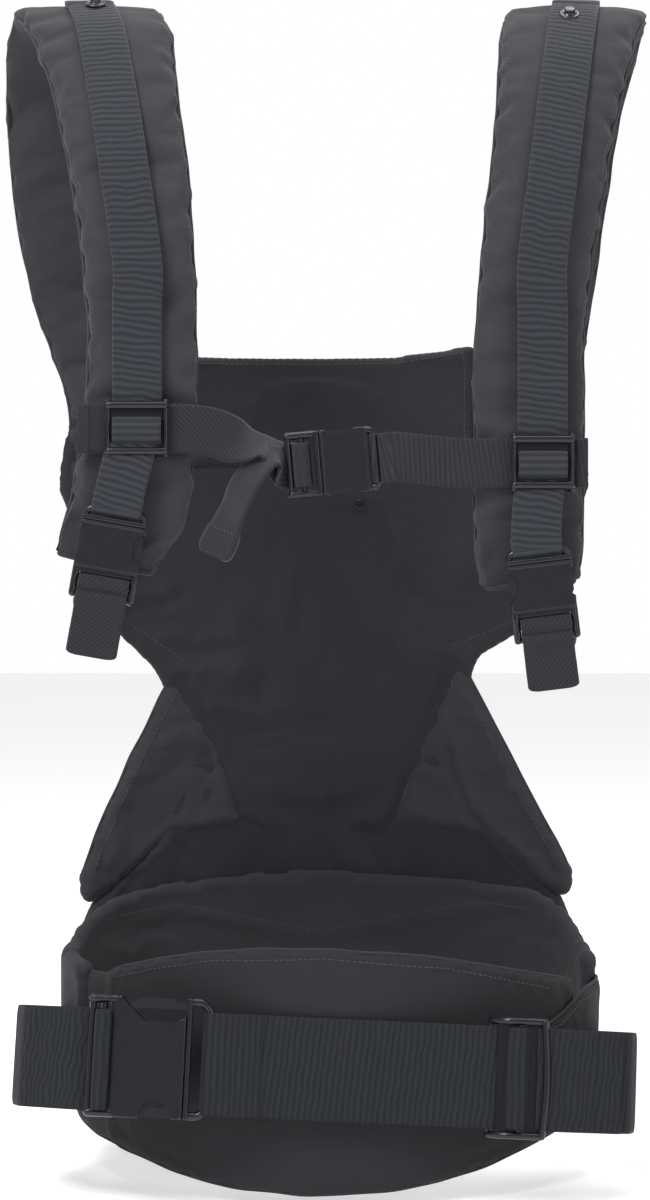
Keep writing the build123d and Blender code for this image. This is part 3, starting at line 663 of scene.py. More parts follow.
# ------------------------------------------------------------------------------------ webbing and trim
def ribbon(name, line, across, width, thick, material, pitch=RIB_PITCH, slant=0.0, height=0.34, columns=21,
           hem=(0, 0), tips=(0, 0), waver=0.0):
    """Flat woven webbing along a dense line: ribbed faces, rounded selvages, closed ends, double hems."""
    line = np.asarray(line, float)
    tangent, across, outward = frames(line, np.asarray(across, float))
    along = lengths(line)
    v = np.linspace(-1, 1, columns)
    edge = 1 - np.abs(v) ** 12
    ribs_at = along[:, None] + slant * v[None, :] * width / 2
    if waver:
        spots = np.stack([along[:, None] + 0 * v, v * width / 2 + 0 * along[:, None]], -1)
        ribs_at = ribs_at + waver * wobble(spots, 9.0, width)
    phase = ribs_at / pitch
    rib = height * (np.abs(np.sin(pi * phase)) ** 0.7 - 0.5) * edge[None, :]
    fade = np.clip(np.minimum(along, along[-1] - along) / 3.0, 0, 1)[:, None]
    half = thick / 2 * (0.55 + 0.45 * edge)[None, :] * np.ones((len(line), 1))
    for size, gap in ((hem[0], along), (hem[1], along[-1] - along)):
        if size:
            half = half + (thick * 0.6 / (1 + np.exp(np.clip((gap - size) / 0.3, -30, 30))))[:, None]
    wide = np.ones(len(line))
    for size, gap in ((tips[0], along), (tips[1], along[-1] - along)):
        if size:
            wide *= 0.62 + 0.38 * np.sqrt(np.clip(1 - (1 - np.clip(gap / size, 0, 1)) ** 2, 0, 1))
    front = half + rib * fade
    back = half + rib[:, ::-1] * fade * 0.6
    middle = line[:, None, :] + across[:, None, :] * (v * width / 2 * wide[:, None])[..., None]
    top = middle + outward[:, None, :] * front[..., None]
    low = middle - outward[:, None, :] * back[..., None]
    ring = np.concatenate([top, low[:, ::-1]], axis=1)
    n = ring.shape[1]
    points = ring.reshape(-1, 3)
    faces = grid_faces(len(line), n, closed=True)
    ends = len(points)
    points = np.vstack([points, line[0], line[-1]])
    last = (len(line) - 1) * n
    faces += [(ends, (j + 1) % n, j) for j in range(n)]
    faces += [(ends + 1, last + j, last + (j + 1) % n) for j in range(n)]
    side = np.concatenate([v, v[::-1]]) * width / 2
    ribs_at = np.concatenate([ribs_at, ribs_at[:, ::-1]], 1)
    uvs = np.stack([ribs_at.ravel(), np.tile(side, len(line))], 1)
    uvs = np.vstack([uvs, [0, 0], [along[-1], 0]])
    return make(name, points, faces, material, uvs)


def dense(stops, step=0.55):
    """Line and across rows from stops of x, y, z, across x, y, z."""
    rows = through(stops, step)
    return rows[:, :3], rows[:, 3:6]


def stitches(name, line, outward, pitch=3.0, length=2.2, radius=0.32):
    """A row of raised thread stitches along a line on a surface."""
    along = lengths(line)
    count = max(1, int(along[-1] // pitch))
    centres = (np.arange(count) + 0.5) * along[-1] / count
    stations, sides = np.array([-1.0, -0.65, 0.0, 0.65, 1.0]), 5
    at = centres[:, None] + stations * length / 2

    def pick(values, where):
        return np.stack([np.interp(where, along, values[:, k]) for k in range(3)], -1)

    middle = pick(line, at)
    way = unit(pick(line, at + 0.3) - pick(line, at - 0.3))
    up = unit(pick(outward, centres))[:, None, :] + 0 * way
    side = np.cross(up, way)
    size = radius * (1 - 0.75 * stations**4)
    lift = radius * (0.35 - 0.9 * stations**2)
    angle = 2 * pi * np.arange(sides) / sides
    tall = lift[:, None] + size[:, None] * np.sin(angle)
    wide = size[:, None] * np.cos(angle)
    ring = middle[:, :, None] + up[:, :, None] * tall[None, ..., None]
    ring = ring + side[:, :, None] * wide[None, ..., None]
    points = ring.reshape(-1, 3)
    faces = []
    each = len(stations) * sides
    for i in range(count):
        faces += grid_faces(len(stations), sides, closed=True, start=i * each)
        faces.append(tuple(i * each + k for k in reversed(range(sides))))
        faces.append(tuple((i + 1) * each - sides + k for k in range(sides)))
    return make(name, points, faces, THREAD, points[:, [0, 2]])


def piping(name, line, radius, material, sides=8, closed=False):
    """A round fabric edge along a line."""
    line = soften(np.asarray(line, float), 1.6, closed)
    if closed:
        line = np.vstack([line, line[:1]])
    tangent = unit(np.gradient(line, axis=0))
    a = np.zeros_like(line)
    guide = np.array([0, 0, 1.0]) if abs(tangent[0, 2]) < 0.9 else np.array([1.0, 0, 0])
    for i, t in enumerate(tangent):
        guide = guide - t * (guide @ t)
        guide /= np.linalg.norm(guide)
        a[i] = guide
    b = np.cross(tangent, a)
    angles = 2 * pi * np.arange(sides) / sides
    ring = a[:, None] * np.cos(angles)[None, :, None] + b[:, None] * np.sin(angles)[None, :, None]
    points = (line[:, None] + radius * ring).reshape(-1, 3)
    n = len(line)
    faces = grid_faces(n, sides, closed=True)
    faces.append(tuple(reversed(range(sides))))
    faces.append(tuple((n - 1) * sides + k for k in range(sides)))
    along = lengths(line)
    uvs = np.stack([np.repeat(along, sides), np.tile(angles * radius, n)], 1)
    return make(name, points, faces, material, uvs)


# ---------------------------------------------------------------------------------- panel and seat
LEFT_SEAM = [(-88, 193), (-62, 150), (-46, 104)]
RIGHT_SEAM = [(78, 201), (54, 150), (38, 104)]
LEFT_BASE = [(-86, 100), (-131, 62)]
RIGHT_BASE = [(88, 100), (132, 66)]

# The seat's bottom turns from the panel's cylinder, at these heights, to the waist's ellipse at the low one.
BUCKET_TOP = [(-142, 46), (-131, 64), (-86, 108), (-46, 116), (38, 116), (88, 108), (132, 68), (143, 48)]
BUCKET_AXES = (144.9, 114.9)
BUCKET_LOW_Z = 40.0


def on_seat(u, z, depth):
    """The panel's cylinder, which runs into the ellipse of the waist pad towards the seat's bottom."""
    upper, out = on_panel(u, z, 0 * u), on_panel(u, z, 0 * u + 1) - on_panel(u, z, 0 * u)
    x = upper[..., 0]
    wide, deep = BUCKET_AXES
    ahead = deep * np.sqrt(np.clip(1 - (x / wide) ** 2, 0.01, 1))
    lower = np.stack([x, ahead, upper[..., 2]], -1)
    lower_out = unit(np.stack([x / wide**2, ahead / deep**2, 0 * x], -1))
    top = np.interp(x, *zip(*BUCKET_TOP))
    t = np.clip((z - BUCKET_LOW_Z) / np.maximum(top - BUCKET_LOW_Z, 4), 0, 1)
    t = (t * t * (3 - 2 * t))[..., None]
    return lower * (1 - t) + upper * t + np.asarray(depth)[..., None] * unit(lower_out * (1 - t) + out * t)


# Soft creases of the panel: places (x, z) along each, its height towards the viewer, and its width.
PANEL_FOLDS = [
    ([(-18, 275), (-24, 220), (-12, 160)], 3.6, 6),
    ([(12, 265), (24, 225), (18, 170)], 3.4, 5),
    ([(48, 290), (36, 245), (44, 205), (38, 165)], 3.6, 5),
    ([(-58, 245), (-50, 205), (-58, 170)], 2.6, 6),
    ([(0, 250), (4, 215), (-2, 185)], -3.0, 4.5),
    ([(-38, 240), (-34, 200), (-38, 160)], -2.8, 4.5),
    ([(28, 300), (42, 270), (58, 240)], 2.4, 5),
    ([(-6, 150), (2, 128), (-4, 108)], 2.2, 5),
    ([(-44, 130), (-30, 108), (-12, 100)], 1.8, 5),
    ([(38, 130), (26, 108), (10, 100)], 1.8, 5),
    ([(-87, 100), (-76, 86), (-66, 74)], -2.4, 2.5),
    ([(81, 108), (72, 94), (62, 80)], -2.0, 2.5),
]
PANEL_SEAMS = [
    [(-82, 190), (-66, 158), (-56, 128), (-50, 108), (-36, 102)],
    [(73, 198), (61, 172), (49, 142), (41, 112), (33, 99), (17, 101)],
]
PANEL_STITCHES = {
    "left_notch": [(-84, 201), (-121, 229), (-127, 258), (-143, 296), (-139, 336)],
    "right_notch": [(74, 208), (118, 227), (126, 251), (141, 297), (138, 336)],
}


def build_panel():
    """Panel and seat bottom: one padded surface between the thigh pads, from neck to waist pad."""
    half = NECK_HALF + 0.5
    left = [(-half, 313), (-half, 345), (-142, 344), (-149, 297), (-133, 258), (-127, 226)]
    right = [(124, 224), (132, 250), (147, 297), (142, 344), (half, 345), (half, 313)]
    low = [(-97, 194), (-76, 150), (-96, 97), (-130, 66), (-139, 46), (-104, 30)]
    low += [(104, 30), (141, 48), (131, 70), (98, 97), (70, 150), (88, 202)]
    outline = panel_outline([*left, *low, *right], 4.0, 2.0)
    seams = [flat_panel(line) for line in PANEL_SEAMS]
    piece = Sewn("panel", outline, on_seat, PANEL_THICK, LINING, 3.8, 3.5, channels=seams, sunk=0.7)
    piece.inflate(pressure=1.2, grow=0.025, cap=1.6)
    piece.pucker(0.45, 10, 8, seed=4)
    piece.rumple(2.4, 30, 5, (1.0, 0.35))
    piece.rumple(1.3, 13, 6, (1.0, 0.5))
    for line, height, width in PANEL_FOLDS:
        piece.fold(flat_panel(line), height, width)
    subdivide(piece.obj)
    nodes = ("panel_lining", "panel_foam", "panel_outer", "seat_bucket")
    ride(piece.obj, "carrier", "fabric_lining", *nodes)
    for name, line in PANEL_STITCHES.items():
        piece.topstitch(f"panel_stitch_{name}", flat_panel(line), "carrier", "fabric_lining")


def build_neck_support():
    """Padded flap above the panel, which turns about the crease."""
    crease = FOLD_Z - 9
    corners = [(-NECK_HALF, crease), (-NECK_HALF, 374), (43, 375), (NECK_HALF, 380), (NECK_HALF, crease)]
    outline = panel_outline(corners, 4.0, 2.5)
    piece = Sewn("neck_support", outline, on_panel, 9.0, LINING, cell=4.0, rim=5.5)
    piece.inflate(pressure=2.5, grow=0.03, cap=2.0)
    piece.pucker(0.5, 9, 7, seed=9)
    piece.rumple(0.5, 30, 12, (1.0, 0.5))
    subdivide(piece.obj)
    joint = ((0, 115, FOLD_Z - 6), (0, 115, FOLD_Z + 6))
    nodes = ("neck_support_cover", "neck_support_foam")
    span(piece.obj, "carrier", "neck_support", *joint, "fabric_lining", *nodes)
    rim = flat_panel([(-81, 326), (-81, 369), (42, 370), (81, 375), (81, 326)])
    points, ways = piece.surface(rounded_line(rim, 1.5, 2.0))
    seam = stitches("neck_support_stitch", points, ways)
    ride(seam, "neck_support", "fabric_lining")


def thigh_outline(side):
    if side == "left":
        edge = [(-116, 134), (-138, 80), (-137, 66)]
        return [*LEFT_SEAM[:1], *edge, *reversed(LEFT_BASE), *reversed(LEFT_SEAM[1:])]
    edge = [(89, 181), (113, 134), (139, 82), (138, 70)]
    return [*RIGHT_SEAM[:1], *edge, *reversed(RIGHT_BASE), *reversed(RIGHT_SEAM[1:])]


THIGH_CREASES = {
    "left": flat_panel([(-112, 77), (-98, 92), (-85, 103)]),
    "right": flat_panel([(116, 84), (98, 98), (84, 112), (75, 132), (72, 148)]),
}


def build_thighs():
    for side, seed in (("left", 21), ("right", 25)):
        outline = panel_outline(thigh_outline(side), 4.0, 2.2)
        piece = Sewn(f"seat_{side}_thigh", outline, on_panel, 9.6, EDGE_CANVAS, cell=4.0, rim=8.0,
                     channels=[THIGH_CREASES[side]], sunk=0.55)
        piece.inflate(pressure=3.5, grow=0.03, cap=2.4)
        piece.pucker(0.6, 11, 8, seed)
        piece.rumple(0.7, 26, seed + 1)
        subdivide(piece.obj)
        ride(piece.obj, "carrier", "fabric_charcoal", f"seat_{side}_thigh_cover", f"seat_{side}_thigh_foam")
        rim = settled(piece.obj, piece.rim)
        rim = piping(f"seat_{side}_thigh_piping", rim, 0.7, EDGE_CANVAS, closed=True)
        ride(rim, "carrier", "fabric_charcoal")
        if side == "left":
            line = [(-86, 183), (-111, 133), (-132, 82)]
        else:
            line = [(84, 180), (107, 132), (133, 84)]
        piece.topstitch(f"seat_{side}_thigh_stitch", flat_panel(line), "carrier", "fabric_charcoal")


# ---------------------------------------------------------------------------------------- waist belt
def build_waist_band():
    """Padded band round the back of the waist, curved up to meet the seat."""
    ring = Ring(137.5, 108.0, near=False)
    left, right = -ring.reaches(-45.0), ring.reaches(-12.0) - 1.0
    rise = [(-134, 53), (-128.5, 62), (-115, 71), (-58, 77), (0, 80), (58, 77), (116, 74), (131, 65)]
    corners = [(left, -30), (left, 46), *ring.flat(*rise, (138, 51))]
    corners += [(right, 47), (right, -34), *ring.flat((60, -52), (0, -56), (-60, -52))]
    outline = rounded_outline(corners, 4.0, 3.5)
    seam = ring.flat((-124, 58), (-84, 62), (-10, 45.5), (3, 45), (86, 63.5), (127, 61))
    piece = Sewn("waist_pad", outline, ring.place, 9.0, SHADED_WAIST_CANVAS, 4.2, 3.0, channels=[seam], sunk=0.2)
    piece.inflate(pressure=2.5, grow=0.02, cap=1.6)
    piece.pucker(0.15, 13, 6, seed=41)
    piece.rumple(0.5, 34, 42)
    subdivide(piece.obj)
    ride(piece.obj, "carrier", "fabric_charcoal", "waist_band_cover", "waist_band_foam")
    piece.topstitch("waist_pad_stitch", seam, "carrier", "fabric_charcoal")


def flap(name, ring, corners, thick, seed, *nodes):
    """One layer of the belt's wrap, with a turned edge."""
    outline = rounded_outline(corners, 3.6, 2.0)
    piece = Sewn(name, outline, ring.place, thick, SHADED_FLAP_CANVAS, cell=3.8, rim=3.0)
    piece.inflate(pressure=1.5, grow=0.015, cap=1.0)
    piece.pucker(0.35, 12, 7, seed=seed)
    piece.rumple(0.7, 40, seed + 1, (0.6, 1.0))
    subdivide(piece.obj)
    ride(piece.obj, "carrier", "fabric_charcoal", *nodes)
    rim = piping(f"{name}_piping", settled(piece.obj, piece.rim), 0.9, SHADED_WAIST_CANVAS, closed=True)
    ride(rim, "carrier", "fabric_charcoal")
    return piece


def build_flaps():
    """The wrap in front: its under layer, the layer over it, and the side wing."""
    inner = Ring(134.0, 108.0, near=True)
    start = -inner.reaches(-38.0)
    corners = [(start, -28), (start, 38.5), *inner.flat((-112, 42), (-60, 49), (20, 50))]
    corners += inner.flat((20, -40), (-30, -52), (-116, -44))
    flap("wrap_under", inner, corners, 4.0, 55, "wrap_flap_under")

    ring = Ring(139.6, 113.0, near=True)
    left, right = ring.along(-112), ring.along(128)
    top = ring.flat((-84, 54), (-55, 60), (0, 62), (60, 56), (122, 40.5))
    low = ring.flat((120, -38), (55, -57), (0, -62), (-55, -58))
    corners = [(left, -42), (left - 1, 45), *top, (right, 39), (right + 2, -34), *low]
    over = flap("wrap_over", ring, corners, 4.0, 51, "wrap_flap_over")
    over.topstitch("wrap_over_stitch_end", [(left + 7, -40), (left + 6, 44)], "carrier", "fabric_charcoal")
    line = [(left + 10, 42), *ring.flat((-84, 48.5), (-55, 54.5), (0, 56.5), (60, 50.5), (112, 36))]
    over.topstitch("wrap_over_stitch_top", line, "carrier", "fabric_charcoal")
    over.topstitch("wrap_over_stitch_hem", [(right - 7, 33), (right - 6, -30)], "carrier", "fabric_charcoal")

    # The side panel that the belt's webbing is sewn to laps over the wrap's end.
    outer = Ring(142.0, 117.6, near=True)
    end = outer.reaches(-8.0)
    edge = outer.flat((133, 33), (120, 22), (104, 15), (88, 9), (88, -12), (110, -22))
    side = flap("wrap_side", outer, [(end, 34), *edge, (end, -26)], 2.6, 58)
    line = [(end - 3, 32), *outer.flat((131, 27), (119, 17), (108, 12))]
    side.topstitch("wrap_side_stitch", line, "carrier", "fabric_charcoal")


# ----------------------------------------------------------------------------------- shoulder straps
PUCKER_PITCH = 18.0


def pad_rows(stops, step):
    rows = through(stops, step)
    turn = np.radians(rows[:, 5])
    across = np.stack([np.cos(turn), np.sin(turn), np.zeros(len(rows))], 1)
    return rows, *frames(rows[:, :3], across)


def build_pad(side, stops, seed):
    """Padded shoulder strap: a sewn tube of canvas round foam, with a seam and piping down each side."""
    rows, _, across, outward = pad_rows(stops, 3.6)
    count, n = len(rows), 60
    angle = 2 * pi * np.arange(n) / n
    wide = np.sign(np.cos(angle)) * np.abs(np.cos(angle)) ** 0.6
    deep = np.sign(np.sin(angle)) * np.abs(np.sin(angle)) ** 0.8
    along = lengths(rows[:, :3])
    taper = np.clip(np.minimum(along, along[-1] - along) / 9.0, 0, 1) ** 0.5
    slack = 1 + 0.03 * np.array([noise.noise(Vector((a / 23, seed, 0))) for a in along])
    slack += 0.022 * np.array([noise.noise(Vector((a / 6.5, seed, 3))) for a in along])
    half_w = (rows[:, 3] / 2 * slack)[:, None]
    half_t = (rows[:, 4] / 2 * (0.42 + 0.58 * taper) * 0.92)[:, None]
    ring = rows[:, None, :3] + across[:, None] * (half_w * wide)[..., None]
    ring = ring + outward[:, None] * (half_t * deep)[..., None]
    points = np.vstack([ring.reshape(-1, 3), rows[0, :3], rows[-1, :3]])
    faces = [tuple(reversed(f)) for f in grid_faces(count, n, closed=True)]
    ends, last = count * n, (count - 1) * n
    faces += [(ends, j, (j + 1) % n) for j in range(n)]
    faces += [(ends + 1, last + (j + 1) % n, last + j) for j in range(n)]
    girth = np.cumsum(np.concatenate([[0], np.hypot(np.diff(wide) * 29, np.diff(deep) * 7)]))
    uvs = np.vstack([np.stack([np.tile(girth, count), np.repeat(along, n)], 1), [0, 0], [0, along[-1]]])
    obj = make(f"shoulder_{side}_pad", points, faces, CANVAS, uvs)
    seams = [i * n + j for i in range(count) for j in (0, n // 2)]
    simulate(obj, [*seams, *range(n), *range(last, last + n), ends, ends + 1], 3.5, 0.035, 3.0)

    # Seam pucker: creases run in from both side seams, and soft folds cross the strap.
    co, normal = points_of(obj), normals_of(obj)
    reach = np.abs(np.tile(wide, count))
    where = np.repeat(along, n)
    rng = np.random.default_rng(seed)
    knots = np.cumsum(rng.uniform(0.55, 1.45, int(along[-1] / PUCKER_PITCH) + 3))
    phase = np.interp(where, np.arange(len(knots)) * PUCKER_PITCH, knots)
    body = co[:ends]
    crease = np.sin(2 * pi * phase) * np.clip((reach - 0.5) / 0.5, 0, 1) ** 1.3
    soft = wobble(body * [1, 1, 1.6], 17, seed) * 1.1 + wobble(body, 46, seed + 5) * 1.4
    groove = -1.0 * np.exp(-(((reach - 1) / 0.02) ** 2))
    co[:ends] += normal[:ends] * (crease * 0.8 + soft * (1 - 0.4 * reach) + groove)[:, None]
    set_points(obj, co)
    subdivide(obj)
    grid = settled(obj, range(ends)).reshape(count, n, 3)
    ride(obj, "carrier", "fabric_charcoal", f"shoulder_{side}_cover", f"shoulder_{side}_foam")
    for j, word in ((0, "a"), (n // 2, "b")):
        ride(piping(f"shoulder_{side}_piping_{word}", grid[:, j], 0.9, CANVAS), "carrier", "fabric_charcoal")
    # The lining strip is topstitched a little way in from each seam on the outside face.
    for j, word in ((5, "a"), (n // 2 - 5, "b")):
        line = resample(grid[:, j], int(along[-1] / 1.5))
        ways = resample(normal[:ends].reshape(count, n, 3)[:, j], len(line))
        seam = stitches(f"shoulder_{side}_stitch_{word}", line[4:-4], ways[4:-4])
        ride(seam, "carrier", "fabric_charcoal")
    hem = piping(f"shoulder_{side}_hem", grid[0], 1.7, CANVAS, closed=True)
    ride(hem, "carrier", "fabric_charcoal")
    return obj


def strap_point(origin, slope, x, y, z):
    """Point of a side buckle's frame: x up along the strap, y across, z outwards."""
    a = radians(slope)
    up, out = np.array([sin(a), 0, cos(a)]), np.array([0, -1.0, 0])
    return np.array(origin) + up * x + np.cross(out, up) * y + out * z


def lie_on(pad, line, across, gap):
    """Lift each row of the webbing's line clear of the pad's highest place under it."""
    co = settled(pad, range(len(pad.data.vertices)))
    tree = BVHTree.FromPolygons([tuple(p) for p in co], [tuple(p.vertices) for p in pad.data.polygons])
    _, across, outward = frames(line, across)
    lift = np.zeros(len(line))
    for i, (place, side, out) in enumerate(zip(line, across, outward)):
        for reach in (-11, -5.5, 0, 5.5, 11):
            start = place + side * reach + out * 25
            hit = tree.ray_cast(Vector(start), Vector(-out), 40.0)[0]
            if hit is not None:
                lift[i] = max(lift[i], 25 - np.linalg.norm(np.array(hit) - start) + gap)
    return line + outward * soften(lift[:, None], 6.0)


def build_shoulder_webbing(side, pad, stops, x, low_z, buckle, slope, shift):
    """From the insert's bar, up through the slider, over the pad, to a hem at the shoulder's top."""
    rows, _, across, outward = pad_rows(stops, 4.0)
    tilt = -(strap_point((0, 0, 0), slope, 0, 1, 0))
    straight = [(x, WEBBING_Y, z, 1, 0, 0) for z in np.linspace(low_z, STRAIGHT_TOP_Z - 4, 5)]
    upper = []
    top = max(range(len(stops)), key=lambda i: stops[i][2])
    for i, lift in zip(range(top - 3, top + 1), (5.6, 3.6, 3.0, 2.8)):
        k = int(np.argmin(np.linalg.norm(rows[:, :3] - np.array(stops[i][:3]), axis=1)))
        place = rows[k, :3] + outward[k] * (rows[k, 4] / 2 + lift) + across[k] * shift
        upper.append((*place, *across[k]))
    foot = strap_point(buckle, slope, SMALL_BAR_X + 0.3, 0, 2.55)
    bend = strap_point(buckle, slope, SMALL_BAR_X + 14, 0, 2.8)
    legs = []
    for t in (0, 0.25, 0.5, 0.75):
        place = foot * (1 - t) ** 2 + bend * 2 * t * (1 - t) + np.array(straight[0][:3]) * t**2
        legs.append((*place, *(tilt * (1 - t) + np.array([1, 0, 0]) * t)))
    line, wide = dense([*legs, *straight, *upper])
    line = lie_on(pad, line, wide, NARROW_THICK / 2 + 0.5)
    keep = line[:, 1] < -5.0
    strap = ribbon(f"shoulder_{side}_strap", line[keep], wide[keep], NARROW, NARROW_THICK, RIBBED,
                   hem=(0, 8), slant=0.1, height=0.5, waver=1.3)
    ride(strap, "carrier", "webbing_ribbed", f"shoulder_{side}_webbing")
    r = 1.75 + NARROW_THICK / 2
    turn = [(*strap_point(buckle, slope, SMALL_BAR_X + 1.0, 0, 2.55), *tilt)]
    for a in np.linspace(0, pi, 9):
        turn.append((*strap_point(buckle, slope, SMALL_BAR_X - r * sin(a), 0, r * cos(a)), *tilt))
    turn += [(*strap_point(buckle, slope, SMALL_BAR_X + d, 0, -2.55), *tilt) for d in (1.0, 4.0, 7.0)]
    line, wide = dense(turn, 0.3)
    loop = ribbon(f"shoulder_{side}_strap_turn", line, wide, NARROW, NARROW_THICK, RIBBED, height=0.2)
    ride(loop, "carrier", "webbing_ribbed")


def hem_stitch(name, line, wide, back, width, body, slot):
    """A row of stitches across a webbing's folded hem, back millimetres from its end."""
    _, across, outward = frames(line, wide)
    along = lengths(line)
    k = int(np.argmin(np.abs(along - (along[-1] - back))))
    row = line[k] + outward[k] * (NARROW_THICK / 2 + 1.25)
    row = row + across[k] * np.linspace(-width / 2, width / 2, 12)[:, None]
    ride(stitches(name, row, np.tile(outward[k], (12, 1)), 2.4, 1.8, 0.28), body, slot)


def build_side_strap(side, buckle, slope, tail_long):
    """Underarm webbing from the panel's wing to the ladder, the turn over its bars, and the loose tail."""
    sign = -1 if side == "left" else 1
    body = f"{side}_side_receptacle"
    end_x, _, end_z = strap_point(buckle, slope, -SMALL_LADDER - 5, 0, 0)
    wing_z = end_z + 3
    run = [
        (sign * 126, 72, wing_z, 0, 0, sign),
        (sign * 128.5, 55, wing_z - 0.5, 0.12, 0, sign),
        (sign * 126, 4, wing_z - 4, 0.7, 0, 0.7 * sign),
        (end_x + sign * 5, -40, end_z - 4, 0.95, 0, 0.3 * sign),
        (end_x + sign * 2, -70, end_z - 2, 1, 0, 0),
        (*strap_point(buckle, slope, -10, 0, -5.2), 1, 0, 0),
        (*strap_point(buckle, slope, -2.5, 0, -3.6), 1, 0, 0),
    ]
    line, wide = dense(run)
    run = ribbon(f"{side}_underarm_strap", line, wide, NARROW * 0.96, *TWILL_TAPE, 1.0, 0.26)
    ends = (sign * 127, 64, wing_z), (end_x, -66, end_z)
    span(run, "carrier", body, *ends, "webbing_twill", f"{side}_underarm_webbing")
    across = -strap_point((0, 0, 0), slope, 0, 1, 0)

    def at(x, z):
        return (*strap_point(buckle, slope, x, 0, z), *across)

    # Round the ladder: in from behind, over the middle bar, down through the slot and over the end bar.
    bars = [at(-2.5, -3.4), at(-3.2, -1.0), at(-4.3, 2.3), at(-6.7, 3.3), at(-9.1, 2.5), at(-10.3, 0.9)]
    tail_end = -SMALL_LADDER - tail_long
    tail = [at(-11.6, 1.6), at(-13.4, 2.9), at(-16.0, 2.7), at(-20.0, 1.3)]
    tail += [at((tail_end - 20) / 2, 1.2), at(tail_end, 1.4)]
    line, wide = dense([*bars, *tail], 0.45)
    name = f"{side}_side_strap_tail"
    loop = ribbon(name, line, wide, NARROW + 0.8, *TWILL_TAPE, 1.0, 0.26, hem=(0, 14), tips=(0, 2.5))
    ride(loop, body, "webbing_twill", f"{side}_side_tail")
    hem_stitch(f"{side}_side_tail_stitch", line, wide, 12.6, NARROW - 3, body, "webbing_twill")


# --------------------------------------------------------------------------------------- chest strap
def chest_point(x, y, z):
    """Point of the chest buckle's frame: x from receptacle to insert, y across the strap, z outwards."""
    a = radians(CHEST_SLOPE)
    way, out = np.array([-cos(a), 0, -sin(a)]), np.array([0, -1.0, 0])
    return np.array(CHEST_BUCKLE) + way * x + np.cross(out, way) * y + out * z


def build_chest_strap():
    """Both runs of the chest webbing, its turns round the bars, its tail, and the rolls in the sliders."""
    up = (0, 0, 1)
    own = tuple(-(chest_point(0, 1, 0) - chest_point(0, 0, 0)))
    right_x, right_z = RIGHT_SLIDER
    stops = [(*chest_point(SMALL_BASE_X - d, 0, 2.55), *own) for d in (1.5, 6.0, 10.0)]
    stops += [(56, CHEST_WEBBING_Y - 0.4, right_z + 1.2, *up)]
    stops += [(x, CHEST_WEBBING_Y, right_z, *up) for x in (68, 90, 112, right_x + 23)]
    line, wide = dense(stops)
    run = ribbon("chest_strap_right", line, wide, NARROW, *TWILL_TAPE, 0.15, 0.28, hem=(0, 6))
    span(run, "chest_strap", "chest_receptacle", (66, -83, right_z), (34, -84, right_z), "webbing_twill",
         "chest_webbing_right")
    r = 1.75 + NARROW_THICK / 2
    turn = []
    for a in np.linspace(0, pi, 9):
        turn.append((*chest_point(SMALL_BASE_X + r * sin(a), 0, r * cos(a)), *own))
    turn += [(*chest_point(SMALL_BASE_X - d, 0, -2.55), *own) for d in (1.0, 4.0, 7.0)]
    line, wide = dense(turn, 0.3)
    loop = ribbon("chest_strap_turn", line, wide, NARROW, *TWILL_TAPE, 0.15, 0.2)
    ride(loop, "chest_receptacle", "webbing_twill")

    left_x, left_z = LEFT_SLIDER
    y = CHEST_WEBBING_Y
    stops = [(x, y, left_z, *up) for x in (left_x - 30, left_x - 10, left_x + 10, -70)]
    stops += [(-57, y + 1.5, 319.0, 0, 0.1, 1), (-47, y + 3.4, 315.5, 0, 0.3, 1)]
    stops += [(-38, y + 4.6, 312.5, 0, 0.75, 0.7), (-29, y + 3.6, 311.0, 0, 0.85, 0.5)]
    stops += [(*chest_point(SMALL_LADDER_X - 3, 0, -4.4), *own)]
    line, wide = dense(stops)
    run = ribbon("chest_strap_left", line, wide, NARROW, *TWILL_TAPE, 1.0, 0.28, hem=(6, 0))
    ride(run, "chest_strap", "webbing_twill", "chest_webbing_left")

    def at(x, z):
        return (*chest_point(x, 0, z), *own)

    # Over the ladder's bars, and down in a slack, half twisted tail with a folded tab.
    start = SMALL_LADDER_X - 15.0
    stops = [at(start + 2.5, -3.4), at(start + 3.2, -1.0), at(start + 4.3, 2.3), at(start + 6.7, 3.3)]
    stops += [at(start + 9.1, 2.0), at(start + 10.6, -0.6), at(start + 12.6, -2.5), at(start + 15.6, -2.6)]
    stops += [
        (-26, -86.0, 306.5, -0.25, 0.85, 0.5),
        (-34, -88.0, 301.0, -0.4, 0.8, 0.45),
        (-41, -89.0, 291.5, -0.6, 0.75, 0.3),
        (-45.6, -88.6, 281.0, -0.62, 0.78, 0.1),
        (-49.4, -88.2, 272.5, -0.68, 0.72, 0.15),
        (-52.8, -88.0, 264.0, -0.78, 0.6, 0.2),
        (-56.6, -88.0, 256.0, -0.78, 0.55, 0.3),
    ]
    line, wide = dense(stops, 0.4)
    name = "chest_strap_tail"
    tail = ribbon(name, line, wide, NARROW * 0.88, *TWILL_TAPE, 1.0, 0.26, hem=(0, 15), tips=(0, 7))
    ride(tail, "chest_strap", "webbing_twill", "chest_tail")
    hem_stitch("chest_strap_tail_stitch", line, wide, 14, NARROW - 6, "chest_strap", "webbing_twill")

    for side, (x, z) in (("left", LEFT_SLIDER), ("right", RIGHT_SLIDER)):
        stops = [(x, WEBBING_Y, z - 7.6), (x, WEBBING_Y - 2.6, z - 7), (x, WEBBING_Y - 4.4, z - 4.5)]
        stops += [(x, WEBBING_Y - 4.9, z - 1), (x, WEBBING_Y - 4.4, z + 2.6), (x, WEBBING_Y - 2.6, z + 5)]
        line, wide = dense([(*p, 1, 0, 0) for p in [*stops, (x, WEBBING_Y, z + 5.8)]], 0.45)
        rise = ribbon(f"chest_slider_{side}_webbing", line, wide, NARROW - 0.4, 1.2, RIBBED, height=0.25)
        ride(rise, "chest_strap", "webbing_ribbed")


